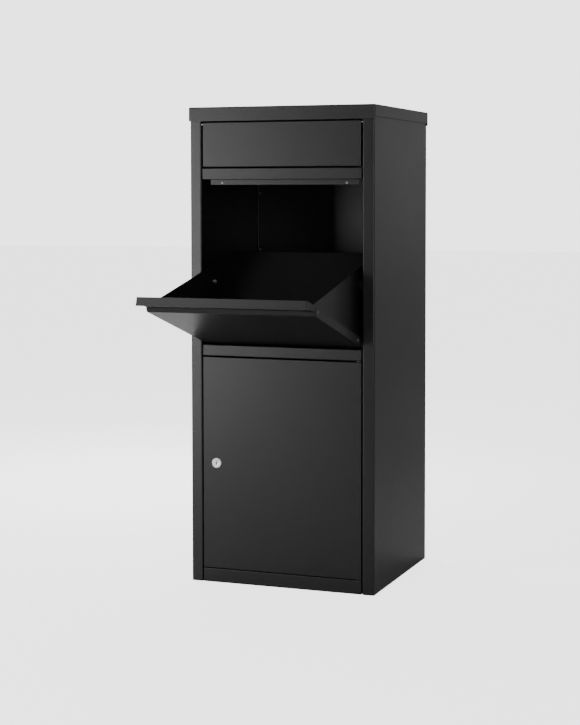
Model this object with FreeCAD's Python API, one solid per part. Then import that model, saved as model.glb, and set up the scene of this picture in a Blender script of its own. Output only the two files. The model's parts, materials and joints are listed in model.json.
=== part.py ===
"""Parcel drop box: a folded steel cabinet with a swing-down parcel hopper, a letter flap
and a lockable collection door.

Millimetres. +X is to the viewer's right, -Y is the front, +Z is up. The origin is on the
floor, at the centre of the anchor holes in the base. The hopper is drawn shut and then
swung open onto its stop, which is how the box stands at rest.
"""
import FreeCAD, Part
import math
import os

Vector = FreeCAD.Vector

# ---- driving dimensions ------------------------------------------------------------------
LID_WIDTH = 420.0
LID_DEPTH = 380.0
TOTAL_HEIGHT = 1020.0
SKIRT_HEIGHT = 30.0              # lid skirt at the front and the back
SIDE_SKIRT_HEIGHT = 25.0
BODY_HALF_WIDTH = 207.5
FRONT_Y = -187.6
REAR_Y = 187.6
CABINET_SHEET = 1.2
PANEL_SHEET = 1.0
CABINET_BEND = 3.0               # outer bend radius of the cabinet's sheets
TRAY_BEND = 2.5                  # outer bend radius of the folded trays

STILE_WIDTH = 26.0
STILE_RETURN = 20.0              # how deep the stop lips lie behind the front
STOP_LIP = 12.7
REAR_FLANGE = 15.5
TOP_FLANGE = 15.0
LIP_TOP_Z = 891.0                # above this the lips are cut away for the letter flap

RAIL_HALF_WIDTH = 179.6
BOTTOM_RAIL_TOP_Z = 29.6
MID_RAIL_Z = (490.0, 513.0)
UPPER_RAIL_Z = (866.3, 890.0)
STOP_STRIP_Z = (854.5, 880.0)
STOP_STRIP_HEM = 9.5
STOP_STRIP_RIVET = (141.5, 859.0)
BASE_FLANGE = 20.0

ANCHOR_SPACING_X = 280.0
ANCHOR_SPACING_Y = 240.0
ANCHOR_HOLE_RADIUS = 5.5

LETTER_FLAP_HALF_WIDTH = 178.3
LETTER_FLAP_Z = (892.3, 987.8)
LETTER_FLAP_DEPTH = 16.0
LETTER_PIVOT = (-184.4, 983.4)   # (y, z)
LETTER_LIP_HALF_WIDTH = 166.0
LETTER_LIP_DROP = 8.0
LETTER_PIN_RADIUS = 1.5

DOOR_HALF_WIDTH = 179.5
DOOR_Z = (31.0, 487.0)
DOOR_DEPTH = 16.0
DOOR_PIVOT = (172.0, -180.6)     # (x, y)
DOOR_PIN_RADIUS = 3.0
DOOR_BUSH_RADIUS = 4.5
DOOR_PAD_Z = (110.0, 408.0)
DOOR_PAD_RADIUS = 4.0
DOOR_PAD_THICKNESS = 3.6
DOOR_PAD_INSET = 5.5             # from the stile's edge
STIFFENER_HALF_WIDTHS = (20.0, 34.0)   # the channel's crown, and out to its feet
STIFFENER_HEIGHT = 12.0
STIFFENER_END = 30.0             # short of the door's edges
STIFFENER_BEND = 2.4

LOCK_X = -148.0
LOCK_Z = 259.0
LOCK_FACE_RADIUS = 10.75
LOCK_FACE_HEIGHT = 2.0
LOCK_BARREL_RADIUS = 9.5
LOCK_BARREL_LENGTH = 18.0
PLUG_RADIUS = 8.0
CAM_LENGTH = 32.0                # from the plug's axis to the tip
CAM_WIDTH = 14.0
CAM_THICKNESS = 2.5
CAM_GAP = 0.5                    # between the cam and the back of the stop lip
CAM_TIP_ROUND = 3.0
CAM_SQUARE = 8.0                 # the plug's square end, across its flats
CAM_SCREW_RADIUS = 2.5
CAM_SCREW_DEPTH = 10.0
SCREW_HEAD_FLATS = 10.0
SCREW_HEAD_HEIGHT = 4.0
LOCK_NUT_FLATS = 24.0
LOCK_NUT_HEIGHT = 4.0
PLUG_SETBACK = 0.5               # the plug's end lies this far behind the lock's face
KEYWAY_WIDTH = 1.8
KEYWAY_DEPTH = 9.0
KEYWAY_REACH = (-4.5, 4.0)       # below and above the lock's axis

HOPPER_HALF_WIDTH = 179.5
HOPPER_Z = (516.0, 863.3)        # flap's bottom and top edge when it is shut
HOPPER_DEPTH = 17.6
HOPPER_PIVOT = (-180.0, 524.7)   # (y, z)
HOPPER_OPEN_ANGLE = 73.0
HOPPER_PIN_RADIUS = 3.0
HOPPER_BUSH_RADIUS = 4.5
HEEL_CUT = (4.6, 5.2)            # sloping cut (y, z) that lets the flap's heels pass the stop lips
RECESS_DEPTH = 7.7               # finger recess along the flap's free edge
RECESS_Z = (813.3, 818.3)        # where its lower wall starts and ends
HANDLE_SIDE_Z = 826.0
HANDLE_Y = (-187.0, -169.0)
HANDLE_TAPER = (8.5, 34.0)       # how far its turned-back ends narrow, and over what length
WING_X = 168.2                   # outer face of the side wings
WING_LEDGE_DEPTH = 14.0
WING_FOOT_Z = (536.0, 812.0)     # the stretch of a wing that is fastened to the flap
WING_TIP = (35.8, 447.4)         # (y, z) where a wing meets the rear plate's free edge
WING_TOP_START = (-170.1, 816.6)
REAR_PLATE_FOOT = (-184.5, -169.5)
REAR_PLATE_HEM = 12.0
FLAP_RIVETS = ((-178.6, 556.3), (-176.8, 803.3))
STOP_BOLT = (-54.6, 534.7)       # (y, z) with the hopper shut
STOP_BOLT_RADIUS = 3.0
BOLT_HEAD_RADIUS = 5.0
BOLT_HEAD_HEIGHT = 3.6
BOLT_CROSS = (5.2, 1.2, 1.6)     # the driver cross: length, width and depth
BOLT_END = 6.0                   # beyond the bumper
STOP_NUT_FLATS = 10.0
STOP_NUT_HEIGHT = 5.0
BUMPER_GAP = 0.3
BUMPER_LENGTH = 14.0

RIVET_HEAD_RADIUS = 3.2
RIVET_HEAD_HEIGHT = 1.1
RIVET_SHANK_RADIUS = 1.6
RIVET_TAIL_RADIUS = 2.4
RIVET_TAIL_HEIGHT = 1.6
PIN_HEAD_HEIGHT = 2.0
PIN_HEAD_LIP = 2.0               # how much wider than its pin a head is, all round
HOPPER_PIN_INSET = 3.5           # how far a pin reaches into the flap's side
DOOR_PIN_INSET = 7.0
BUSH_LIP = 1.5                   # how much wider than its sleeve a bush's flange is
HOPPER_BUSH_FLANGE = 1.4
HOPPER_BUSH_SLEEVE = 2.2
DOOR_BUSH_FLANGES = (1.3, 2.7)   # lower and upper; the lower one carries the door
DOOR_BUSH_SLEEVE = 3.0
LETTER_PIN_ENDS = (175.3, 185.0)
RUNNING_CLEARANCE = 0.06         # radial, on every pin and plug

BACK_RIVET_X = 199.5
BACK_RIVET_COUNT = 8
BACK_RIVET_Z = (45.0, 970.0)
BASE_RIVET_X = (-120.0, 0.0, 120.0)
BASE_RIVET_Z = 11.0

# ---- sizes that follow from them ---------------------------------------------------------
STILE_EDGE_X = BODY_HALF_WIDTH - STILE_WIDTH
LIP_EDGE_X = STILE_EDGE_X - STOP_LIP
LIP_FRONT_Y = FRONT_Y + STILE_RETURN
LIP_BACK_Y = LIP_FRONT_Y + CABINET_SHEET
SIDE_INNER_X = BODY_HALF_WIDTH - CABINET_SHEET
LID_UNDER_Z = TOTAL_HEIGHT - CABINET_SHEET
LID_BOTTOM_Z = TOTAL_HEIGHT - SKIRT_HEIGHT
BACK_INNER_Y = REAR_Y - 2 * CABINET_SHEET
BACK_PANEL_X = SIDE_INNER_X - (CABINET_BEND - CABINET_SHEET) - 0.2
WING_INNER_X = WING_X - PANEL_SHEET
RETURN_BACK_X = STILE_EDGE_X + CABINET_SHEET
CAM_FRONT_Y = LIP_BACK_Y + CAM_GAP
CAM_BACK_Y = CAM_FRONT_Y + CAM_THICKNESS


# ---- drawing helpers ---------------------------------------------------------------------
def box(x, y, z):
    """A block between pairs of limits."""
    return Part.makeBox(x[1] - x[0], y[1] - y[0], z[1] - z[0], Vector(x[0], y[0], z[0]))


def rod(radius, start, end):
    """A cylinder from one point to another."""
    along = Vector(*end) - Vector(*start)
    return Part.makeCylinder(radius, along.Length, Vector(*start), along)


def hexagon(across_flats, start, end):
    """A hexagonal bar from one point to another."""
    along = Vector(*end) - Vector(*start)
    radius = across_flats / math.sqrt(3)
    turn = FreeCAD.Rotation(Vector(0, 0, 1), along)
    points = []
    for step in range(7):
        angle = math.radians(60 * step)
        flat = Vector(radius * math.cos(angle), radius * math.sin(angle), 0)
        points.append(Vector(*start) + turn.multVec(flat))
    return Part.Face(Part.makePolygon(points)).extrude(along)


def rounded_outline(corners, to_point):
    """A closed wire through (u, v, radius) corners, each rounded by its own radius."""
    edges = []
    arcs = []
    count = len(corners)
    for index, (u, v, radius) in enumerate(corners):
        here = to_point(u, v)
        before = to_point(*corners[index - 1][:2])
        after = to_point(*corners[(index + 1) % count][:2])
        if radius <= 0:
            arcs.append((here, None, here))
            continue
        back = (before - here).normalize()
        ahead = (after - here).normalize()
        half_angle = back.getAngle(ahead) / 2
        reach = radius / math.tan(half_angle)
        middle = (back + ahead).normalize()
        nearest = here + middle * (radius / math.sin(half_angle) - radius)
        arcs.append((here + back * reach, nearest, here + ahead * reach))
    for index, (start, middle, end) in enumerate(arcs):
        if middle is not None:
            edges.append(Part.Arc(start, middle, end).toShape())
        following = arcs[(index + 1) % count][0]
        if (following - end).Length > 1e-6:
            edges.append(Part.LineSegment(end, following).toShape())
    return Part.Wire(edges)


def prism_x(corners, x):
    """A solid whose (y, z, radius) outline runs between two x limits."""
    wire = rounded_outline(corners, lambda y, z: Vector(x[0], y, z))
    return Part.Face(wire).extrude(Vector(x[1] - x[0], 0, 0))


def prism_z(corners, z):
    """A solid whose (x, y, radius) outline runs between two z limits."""
    wire = rounded_outline(corners, lambda x, y: Vector(x, y, z[0]))
    return Part.Face(wire).extrude(Vector(0, 0, z[1] - z[0]))


def folded_corners(path, thickness, bend):
    """The outline of a folded sheet, which lies to the left of its path."""
    directions = []
    for (u0, v0), (u1, v1) in zip(path, path[1:]):
        length = math.hypot(u1 - u0, v1 - v0)
        directions.append(((u1 - u0) / length, (v1 - v0) / length))
    near = []
    far = []
    for index, (u, v) in enumerate(path):
        into = directions[max(index - 1, 0)]
        out = directions[min(index, len(directions) - 1)]
        cross = into[0] * out[1] - into[1] * out[0]
        dot = into[0] * out[0] + into[1] * out[1]
        shift = thickness * cross / (1 + dot)
        near_radius, far_radius = 0, 0
        if cross > 0:
            near_radius, far_radius = bend, bend - thickness
        elif cross < 0:
            near_radius, far_radius = bend - thickness, bend
        near.append((u, v, near_radius))
        far.append((u - into[1] * thickness - into[0] * shift,
                    v + into[0] * thickness - into[1] * shift, far_radius))
    return near + far[::-1]


def edges_where(shape, test):
    """The edges whose two ends both pass a test."""
    return [edge for edge in shape.Edges
            if len(edge.Vertexes) == 2 and all(test(vertex.Point) for vertex in edge.Vertexes)]


def tray(half_width, z, depth, sheet):
    """A shallow tray, open at the back, with rounded folds around its front face."""
    def block(inset, bend):
        """The tray's outer or inner block."""
        front = FRONT_Y + inset
        back = FRONT_Y + depth + (10 if inset else 0)
        solid = box((-half_width + inset, half_width - inset), (front, back),
                    (z[0] + inset, z[1] - inset))
        return solid.makeFillet(bend, edges_where(solid, lambda p: abs(p.y - front) < 1e-6))
    return block(0, TRAY_BEND).cut(block(sheet, TRAY_BEND - sheet))


def rivet(point, outward):
    """A blind rivet with its head on the side that outward points to."""
    out = Vector(*outward)
    face = Vector(*point)
    under = face - out * 2 * CABINET_SHEET
    head = rod(RIVET_HEAD_RADIUS, face, face + out * RIVET_HEAD_HEIGHT)
    rim = [edge for edge in head.Edges
           if len(edge.Vertexes) == 1 and abs((edge.Vertexes[0].Point - face).dot(out)) > 0.5]
    head = head.makeFillet(0.7 * RIVET_HEAD_HEIGHT, rim)
    socket = rod(0.9, face + out * 0.4, face + out * 2)
    shank = rod(RIVET_SHANK_RADIUS, under, face)
    tail = rod(RIVET_TAIL_RADIUS, under - out * RIVET_TAIL_HEIGHT, under)
    return head.cut(socket).fuse([shank, tail]).removeSplitter()


def mirrored(shape):
    """The shape's other half, across the plane x = 0."""
    return shape.mirror(Vector(0, 0, 0), Vector(1, 0, 0))


def both_sides(shape):
    """A right-hand piece and its mirror image, as separate solids."""
    return Part.makeCompound([shape, mirrored(shape)])


def swung_open(shape):
    """A hopper piece, drawn shut, turned onto its open stop."""
    turned = shape.copy()
    turned.rotate(Vector(0, *HOPPER_PIVOT), Vector(1, 0, 0), HOPPER_OPEN_ANGLE)
    return turned


# ---- cabinet -----------------------------------------------------------------------------
def back_rivet_heights():
    """Where the rivets stand along each rear flange."""
    low, high = BACK_RIVET_Z
    gap = (high - low) / (BACK_RIVET_COUNT - 1)
    return [low + gap * step for step in range(BACK_RIVET_COUNT)]


def side_panel():
    """The right-hand side, folded into the front stile and its stop lip."""
    path = [(BODY_HALF_WIDTH - REAR_FLANGE, REAR_Y), (BODY_HALF_WIDTH, REAR_Y),
            (BODY_HALF_WIDTH, FRONT_Y), (STILE_EDGE_X, FRONT_Y),
            (STILE_EDGE_X, LIP_FRONT_Y), (LIP_EDGE_X, LIP_FRONT_Y)]
    left_path = [(-x, y) for x, y in path]
    panel = mirrored(prism_z(folded_corners(left_path, CABINET_SHEET, CABINET_BEND),
                             (0, LID_UNDER_Z)))
    flange = box((BODY_HALF_WIDTH - TOP_FLANGE, BODY_HALF_WIDTH - CABINET_SHEET / 2),
                 (LIP_BACK_Y + 5, BACK_INNER_Y - 3), (LID_UNDER_Z - CABINET_SHEET, LID_UNDER_Z))
    notch = box((LIP_EDGE_X - 1, RETURN_BACK_X + 1), (LIP_FRONT_Y - 2.4, LIP_BACK_Y + 1),
                (LIP_TOP_Z, TOTAL_HEIGHT))
    cuts = [notch,
            rod(HOPPER_PIN_RADIUS, (STILE_EDGE_X - 3, *HOPPER_PIVOT),
                (RETURN_BACK_X + 3, *HOPPER_PIVOT)),
            rod(LETTER_PIN_RADIUS, (STILE_EDGE_X - 3, *LETTER_PIVOT),
                (RETURN_BACK_X + 3, *LETTER_PIVOT))]
    for height in back_rivet_heights():
        cuts.append(rod(RIVET_SHANK_RADIUS, (BACK_RIVET_X, REAR_Y - 5, height),
                        (BACK_RIVET_X, REAR_Y + 5, height)))
    return panel.fuse(flange).cut(cuts)


def back_panel():
    """A flat sheet inside the rear flanges."""
    sheet = box((-BACK_PANEL_X, BACK_PANEL_X), (BACK_INNER_Y, REAR_Y - CABINET_SHEET),
                (0, LID_UNDER_Z))
    places = [(x, height) for x in (-BACK_RIVET_X, BACK_RIVET_X) for height in back_rivet_heights()]
    places += [(x, BASE_RIVET_Z) for x in BASE_RIVET_X]
    return sheet.cut([rod(RIVET_SHANK_RADIUS, (x, REAR_Y - 5, z), (x, REAR_Y + 5, z))
                      for x, z in places])


def back_rivets():
    """The rivets that hold the back panel to the sides and to the base."""
    rivets = [rivet((x, REAR_Y, height), (0, 1, 0))
              for x in (-BACK_RIVET_X, BACK_RIVET_X) for height in back_rivet_heights()]
    rivets += [rivet((x, REAR_Y - CABINET_SHEET, BASE_RIVET_Z), (0, 1, 0)) for x in BASE_RIVET_X]
    return Part.makeCompound(rivets)


def lid():
    """A folded cap that stands a little proud of the body, with shorter skirts at the sides."""
    def cap(inset, bend):
        """The lid's outer or inner block."""
        solid = box((-LID_WIDTH / 2 + inset, LID_WIDTH / 2 - inset),
                    (-LID_DEPTH / 2 + inset, LID_DEPTH / 2 - inset),
                    (LID_BOTTOM_Z - (5 if inset else 0), TOTAL_HEIGHT - inset))
        outer_edges = edges_where(solid, lambda p: p.z > TOTAL_HEIGHT - 5)
        corners = [edge for edge in solid.Edges
                   if abs(edge.Vertexes[0].Z - edge.Vertexes[-1].Z) > 1]
        return solid.makeFillet(bend, outer_edges + corners)
    shell = cap(0, TRAY_BEND).cut(cap(CABINET_SHEET, TRAY_BEND - CABINET_SHEET))
    side_cut = (LID_BOTTOM_Z - 1, TOTAL_HEIGHT - SIDE_SKIRT_HEIGHT)
    skirt_end = LID_DEPTH / 2 - TRAY_BEND
    for side in (-1, 1):
        x = sorted((side * (LID_WIDTH / 2 - TRAY_BEND), side * (LID_WIDTH / 2 + 1)))
        shell = shell.cut(box(x, (-skirt_end, skirt_end), side_cut))
    return shell


def base_plate():
    """The floor of the box, a tray with upturned flanges and four anchor holes."""
    outer = box((-SIDE_INNER_X, SIDE_INNER_X), (LIP_BACK_Y, BACK_INNER_Y), (0, BASE_FLANGE))
    rear_corners = edges_where(outer, lambda p: p.y > BACK_INNER_Y - 1)
    rear_corners = [edge for edge in rear_corners
                    if abs(edge.Vertexes[0].Z - edge.Vertexes[-1].Z) > 1]
    outer = outer.makeFillet(CABINET_BEND - CABINET_SHEET + 0.3, rear_corners)
    inner = box((-SIDE_INNER_X + CABINET_SHEET, SIDE_INNER_X - CABINET_SHEET),
                (LIP_BACK_Y + CABINET_SHEET, BACK_INNER_Y - CABINET_SHEET),
                (CABINET_SHEET, BASE_FLANGE + 1))
    cuts = [inner]
    for x in (-ANCHOR_SPACING_X / 2, ANCHOR_SPACING_X / 2):
        for y in (-ANCHOR_SPACING_Y / 2, ANCHOR_SPACING_Y / 2):
            cuts.append(rod(ANCHOR_HOLE_RADIUS, (x, y, -1), (x, y, CABINET_SHEET + 1)))
    for x in BASE_RIVET_X:
        cuts.append(rod(RIVET_SHANK_RADIUS, (x, BACK_INNER_Y - 5, BASE_RIVET_Z),
                        (x, BACK_INNER_Y + 1, BASE_RIVET_Z)))
    return outer.cut(cuts)


def rail(z):
    """A cross rail between the stiles, as deep as the stop lips."""
    return tray(RAIL_HALF_WIDTH, z, STILE_RETURN, CABINET_SHEET)


def pin_hole(z):
    """The door pin's hole through a rail."""
    return rod(DOOR_PIN_RADIUS, (*DOOR_PIVOT, z - 5), (*DOOR_PIVOT, z + 5))


def stop_strip():
    """The stop along the top of the parcel opening, with a hemmed lower edge."""
    x = (-LIP_EDGE_X + 0.3, LIP_EDGE_X - 0.3)
    low, high = STOP_STRIP_Z
    hem_y = LIP_FRONT_Y + 2 * CABINET_SHEET
    strip = box(x, (LIP_FRONT_Y, LIP_BACK_Y), (low, high))
    hem = box(x, (LIP_FRONT_Y, hem_y), (low, low + STOP_STRIP_HEM))
    shape = strip.fuse(hem).removeSplitter()
    reach, height = STOP_STRIP_RIVET
    return shape.cut([rod(RIVET_SHANK_RADIUS, (side, LIP_FRONT_Y - 1, height),
                          (side, hem_y + 1, height)) for side in (-reach, reach)])


def stop_strip_rivets():
    """The two rivets that close the strip's hem."""
    reach, height = STOP_STRIP_RIVET
    return Part.makeCompound([rivet((side, LIP_FRONT_Y, height), (0, -1, 0))
                              for side in (-reach, reach)])


def headed_pin(radius, tip, neck, outward):
    """A pin from its tip to its neck, with a round head beyond the neck."""
    out = Vector(*outward)
    head = rod(radius + PIN_HEAD_LIP, neck, Vector(*neck) + out * PIN_HEAD_HEIGHT)
    return rod(radius, tip, neck).fuse(head).removeSplitter()


def hopper_pins():
    """The two pins that the hopper turns on, fixed in the stiles' returns."""
    tip_x = HOPPER_HALF_WIDTH - HOPPER_PIN_INSET
    return both_sides(headed_pin(HOPPER_PIN_RADIUS, (tip_x, *HOPPER_PIVOT),
                                 (RETURN_BACK_X, *HOPPER_PIVOT), (1, 0, 0)))


def letter_pins():
    """The two plain pins that the letter flap hangs from."""
    inner, outer = LETTER_PIN_ENDS
    return both_sides(rod(LETTER_PIN_RADIUS, (inner, *LETTER_PIVOT), (outer, *LETTER_PIVOT)))


def door_pins():
    """The door's lower and upper pins, fixed in the rails."""
    low = BOTTOM_RAIL_TOP_Z - CABINET_SHEET
    high = MID_RAIL_Z[0] + CABINET_SHEET
    pins = []
    for neck, tip, out in ((low, DOOR_Z[0] + DOOR_PIN_INSET, -1), (high, DOOR_Z[1] - DOOR_PIN_INSET, 1)):
        pins.append(headed_pin(DOOR_PIN_RADIUS, (*DOOR_PIVOT, tip), (*DOOR_PIVOT, neck), (0, 0, out)))
    return Part.makeCompound(pins)


def door_pads():
    """Rubber pads on the left stop lip that the door shuts against."""
    x = -(STILE_EDGE_X - DOOR_PAD_INSET)
    return Part.makeCompound([rod(DOOR_PAD_RADIUS, (x, LIP_FRONT_Y - DOOR_PAD_THICKNESS, height),
                                  (x, LIP_FRONT_Y, height)) for height in DOOR_PAD_Z])


# ---- letter flap -------------------------------------------------------------------------
def letter_flap():
    """A top-hung tray; the lip on its lower return hooks behind the upper rail."""
    shell = tray(LETTER_FLAP_HALF_WIDTH, LETTER_FLAP_Z, LETTER_FLAP_DEPTH, PANEL_SHEET)
    bottom = LETTER_FLAP_Z[0]
    lip_front = LIP_FRONT_Y + 0.4
    lip_back = lip_front + PANEL_SHEET
    x = (-LETTER_LIP_HALF_WIDTH, LETTER_LIP_HALF_WIDTH)
    extension = box(x, (FRONT_Y + LETTER_FLAP_DEPTH - 1, lip_back), (bottom, bottom + PANEL_SHEET))
    lip = box(x, (lip_front, lip_back), (bottom - LETTER_LIP_DROP, bottom + PANEL_SHEET))
    hole_radius = LETTER_PIN_RADIUS + RUNNING_CLEARANCE
    bore = rod(hole_radius, (-LETTER_FLAP_HALF_WIDTH - 1, *LETTER_PIVOT),
               (LETTER_FLAP_HALF_WIDTH + 1, *LETTER_PIVOT))
    return shell.fuse([extension, lip]).removeSplitter().cut(bore)


# ---- hopper, drawn shut ------------------------------------------------------------------
def hopper_flap():
    """The flap's shell: face, returns all round and the finger recess along its free edge."""
    back = FRONT_Y + HOPPER_DEPTH
    step = FRONT_Y + RECESS_DEPTH
    low, high = HOPPER_Z
    top = high - PANEL_SHEET
    low_step, high_step = RECESS_Z

    def shell_block(inset, bend, reach):
        """The shell's outer or inner block; the recessed band is narrower than the face."""
        face = prism_x([(back + reach, low + inset, 0), (FRONT_Y + inset, low + inset, 0),
                        (FRONT_Y + inset, low_step - inset * 0.6, 0),
                        (step + inset, high_step - inset * 0.6, 0),
                        (back + reach, high_step - inset * 0.6, 0)],
                       (-HOPPER_HALF_WIDTH + inset, HOPPER_HALF_WIDTH - inset))
        front = FRONT_Y + inset
        face = face.makeFillet(bend, edges_where(face, lambda p: abs(p.y - front) < 1e-6))
        band_x = HOPPER_HALF_WIDTH - PANEL_SHEET - inset
        band = box((-band_x, band_x), (step + inset, back + reach),
                   (high_step - 3, top - inset))
        return face.fuse(band).removeSplitter()

    outer = shell_block(0, TRAY_BEND, 0)
    inner = shell_block(PANEL_SHEET, TRAY_BEND - PANEL_SHEET, 5)
    cuts = [inner, rod(HOPPER_BUSH_RADIUS, (-HOPPER_HALF_WIDTH - 1, *HOPPER_PIVOT),
                       (HOPPER_HALF_WIDTH + 1, *HOPPER_PIVOT))]
    for y, z in FLAP_RIVETS:
        cuts.append(rod(RIVET_SHANK_RADIUS, (-HOPPER_HALF_WIDTH - 1, y, z),
                        (HOPPER_HALF_WIDTH + 1, y, z)))
    heel_y, heel_z = HEEL_CUT
    heel = prism_x([(back + 1 - heel_y, low - 1, 0), (back + 1, low - 1, 0),
                    (back + 1, low - 1 + heel_z, 0)], (WING_X - 0.5, HOPPER_HALF_WIDTH + 1))
    return outer.cut(cuts + [heel, mirrored(heel)])


def hopper_handle():
    """The pull strip: it closes the flap's free edge and its ends turn back and taper."""
    high = HOPPER_Z[1]
    outline = (HOPPER_HALF_WIDTH, HANDLE_SIDE_Z, high)
    outer = box((-outline[0], outline[0]), HANDLE_Y, (outline[1], outline[2]))
    ends = [edge for edge in outer.Edges
            if abs(edge.Vertexes[0].Y - edge.Vertexes[-1].Y) > 1 and edge.Vertexes[0].Z > high - 1]
    outer = outer.makeFillet(TRAY_BEND, ends)
    hollow_x = outline[0] - PANEL_SHEET
    inner = box((-hollow_x, hollow_x), (HANDLE_Y[0] - 1, HANDLE_Y[1] + 1),
                (outline[1] - 1, high - PANEL_SHEET))
    front = HANDLE_Y[0]
    narrowing, length = HANDLE_TAPER
    taper = prism_x([(front - 1, HANDLE_SIDE_Z + length * (1 + 1 / narrowing), 0),
                     (front + narrowing * (1 + 1 / length), HANDLE_SIDE_Z - 1, 0),
                     (front - 1, HANDLE_SIDE_Z - 1, 0)],
                    (-HOPPER_HALF_WIDTH - 1, HOPPER_HALF_WIDTH + 1))
    return outer.cut([inner, taper])


def hopper_wing():
    """The right-hand side wing, with a foot that lies inside the flap's return."""
    foot_y = FRONT_Y + WING_LEDGE_DEPTH
    plate_foot = HOPPER_Z[0] + PANEL_SHEET
    top_y, top_z = WING_TOP_START
    plate = prism_x([(foot_y, plate_foot + 0.8, 0), (foot_y, top_z, 2), (top_y, top_z, 2),
                     (*WING_TIP, 6), (REAR_PLATE_FOOT[1], plate_foot, 0)],
                    (WING_INNER_X, WING_X))
    foot_x = HOPPER_HALF_WIDTH - PANEL_SHEET
    low, high = WING_FOOT_Z
    ledge = box((WING_INNER_X, foot_x), (foot_y, foot_y + PANEL_SHEET), (low, high))
    foot = box((foot_x - PANEL_SHEET, foot_x), (FRONT_Y + 4, foot_y + PANEL_SHEET), (low, high))
    wing = plate.fuse([ledge, foot]).removeSplitter()
    cuts = [rod(STOP_BOLT_RADIUS, (WING_INNER_X - 1, *STOP_BOLT), (WING_X + 1, *STOP_BOLT))]
    for y, z in FLAP_RIVETS:
        cuts.append(rod(RIVET_SHANK_RADIUS, (foot_x - 3, y, z), (foot_x + 3, y, z)))
    return wing.cut(cuts)


def hopper_rear_plate():
    """The plate that stands up behind a parcel and closes off the cabinet below."""
    foot_z = HOPPER_Z[0] + PANEL_SHEET
    tip_y, tip_z = WING_TIP
    along = (tip_y - REAR_PLATE_FOOT[1], tip_z - foot_z)
    length = math.hypot(*along)
    down = (along[1] / length, -along[0] / length)
    path = [(REAR_PLATE_FOOT[0], foot_z), (REAR_PLATE_FOOT[1], foot_z), (tip_y, tip_z),
            (tip_y + down[0] * REAR_PLATE_HEM, tip_z + down[1] * REAR_PLATE_HEM)]
    return prism_x(folded_corners(path, PANEL_SHEET, TRAY_BEND), (-WING_INNER_X, WING_INNER_X))


def hopper_bushes():
    """Flanged nylon bushes in the flap's side returns."""
    inner = HOPPER_HALF_WIDTH - HOPPER_BUSH_SLEEVE
    flange = rod(HOPPER_BUSH_RADIUS + BUSH_LIP, (HOPPER_HALF_WIDTH, *HOPPER_PIVOT),
                 (HOPPER_HALF_WIDTH + HOPPER_BUSH_FLANGE, *HOPPER_PIVOT))
    sleeve = rod(HOPPER_BUSH_RADIUS, (inner, *HOPPER_PIVOT), (HOPPER_HALF_WIDTH, *HOPPER_PIVOT))
    bore = rod(HOPPER_PIN_RADIUS + RUNNING_CLEARANCE, (inner - 1, *HOPPER_PIVOT),
               (HOPPER_HALF_WIDTH + 3, *HOPPER_PIVOT))
    return both_sides(flange.fuse(sleeve).removeSplitter().cut(bore))


def hopper_rivets():
    """The rivets that hold the wings to the flap's side returns."""
    return Part.makeCompound([both_sides(rivet((HOPPER_HALF_WIDTH, y, z), (1, 0, 0)))
                              for y, z in FLAP_RIVETS])


def bumper_radius():
    """How far the bumper reaches from its bolt to the back of the stop lip."""
    angle = math.radians(HOPPER_OPEN_ANGLE)
    y = STOP_BOLT[0] - HOPPER_PIVOT[0]
    z = STOP_BOLT[1] - HOPPER_PIVOT[1]
    open_y = HOPPER_PIVOT[0] + y * math.cos(angle) - z * math.sin(angle)
    return open_y - LIP_BACK_Y - BUMPER_GAP


def stop_bolts():
    """Pan-head bolts through the wings, which carry the bumpers."""
    crown_x = WING_INNER_X - BOLT_HEAD_HEIGHT
    head = rod(BOLT_HEAD_RADIUS, (crown_x, *STOP_BOLT), (WING_INNER_X, *STOP_BOLT))
    rim = [edge for edge in head.Edges if len(edge.Vertexes) == 1
           and edge.Vertexes[0].X < crown_x + 0.1]
    head = head.makeFillet(0.45 * BOLT_HEAD_HEIGHT, rim)
    length, width, depth = BOLT_CROSS
    cross = [box((crown_x - 1, crown_x + depth), (STOP_BOLT[0] - a, STOP_BOLT[0] + a),
                 (STOP_BOLT[1] - b, STOP_BOLT[1] + b))
             for a, b in ((length / 2, width / 2), (width / 2, length / 2))]
    shank = rod(STOP_BOLT_RADIUS, (WING_INNER_X, *STOP_BOLT),
                (WING_X + BUMPER_LENGTH + BOLT_END, *STOP_BOLT))
    return both_sides(head.cut(cross).fuse(shank).removeSplitter())


def stop_bumpers():
    """Rubber sleeves that rest against the stop lips when the hopper is open."""
    end = WING_X + BUMPER_LENGTH
    sleeve = rod(bumper_radius(), (WING_X, *STOP_BOLT), (end, *STOP_BOLT))
    sleeve = sleeve.makeFillet(1.0, [edge for edge in sleeve.Edges if len(edge.Vertexes) == 1])
    bore = rod(STOP_BOLT_RADIUS, (WING_X - 1, *STOP_BOLT), (end + 1, *STOP_BOLT))
    return both_sides(sleeve.cut(bore))


def stop_nuts():
    """Nuts that clamp the bumpers."""
    start = WING_X + BUMPER_LENGTH
    end = start + STOP_NUT_HEIGHT
    nut = hexagon(STOP_NUT_FLATS, (start, *STOP_BOLT), (end, *STOP_BOLT))
    bore = rod(STOP_BOLT_RADIUS, (start - 1, *STOP_BOLT), (end + 1, *STOP_BOLT))
    return both_sides(nut.cut(bore))


# ---- door --------------------------------------------------------------------------------
def door_panel():
    """The collection door's folded shell."""
    shell = tray(DOOR_HALF_WIDTH, DOOR_Z, DOOR_DEPTH, CABINET_SHEET)
    cuts = [rod(LOCK_BARREL_RADIUS, (LOCK_X, FRONT_Y - 1, LOCK_Z), (LOCK_X, FRONT_Y + 5, LOCK_Z))]
    for z in DOOR_Z:
        cuts.append(rod(DOOR_BUSH_RADIUS, (*DOOR_PIVOT, z - 4), (*DOOR_PIVOT, z + 4)))
    return shell.cut(cuts)


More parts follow.
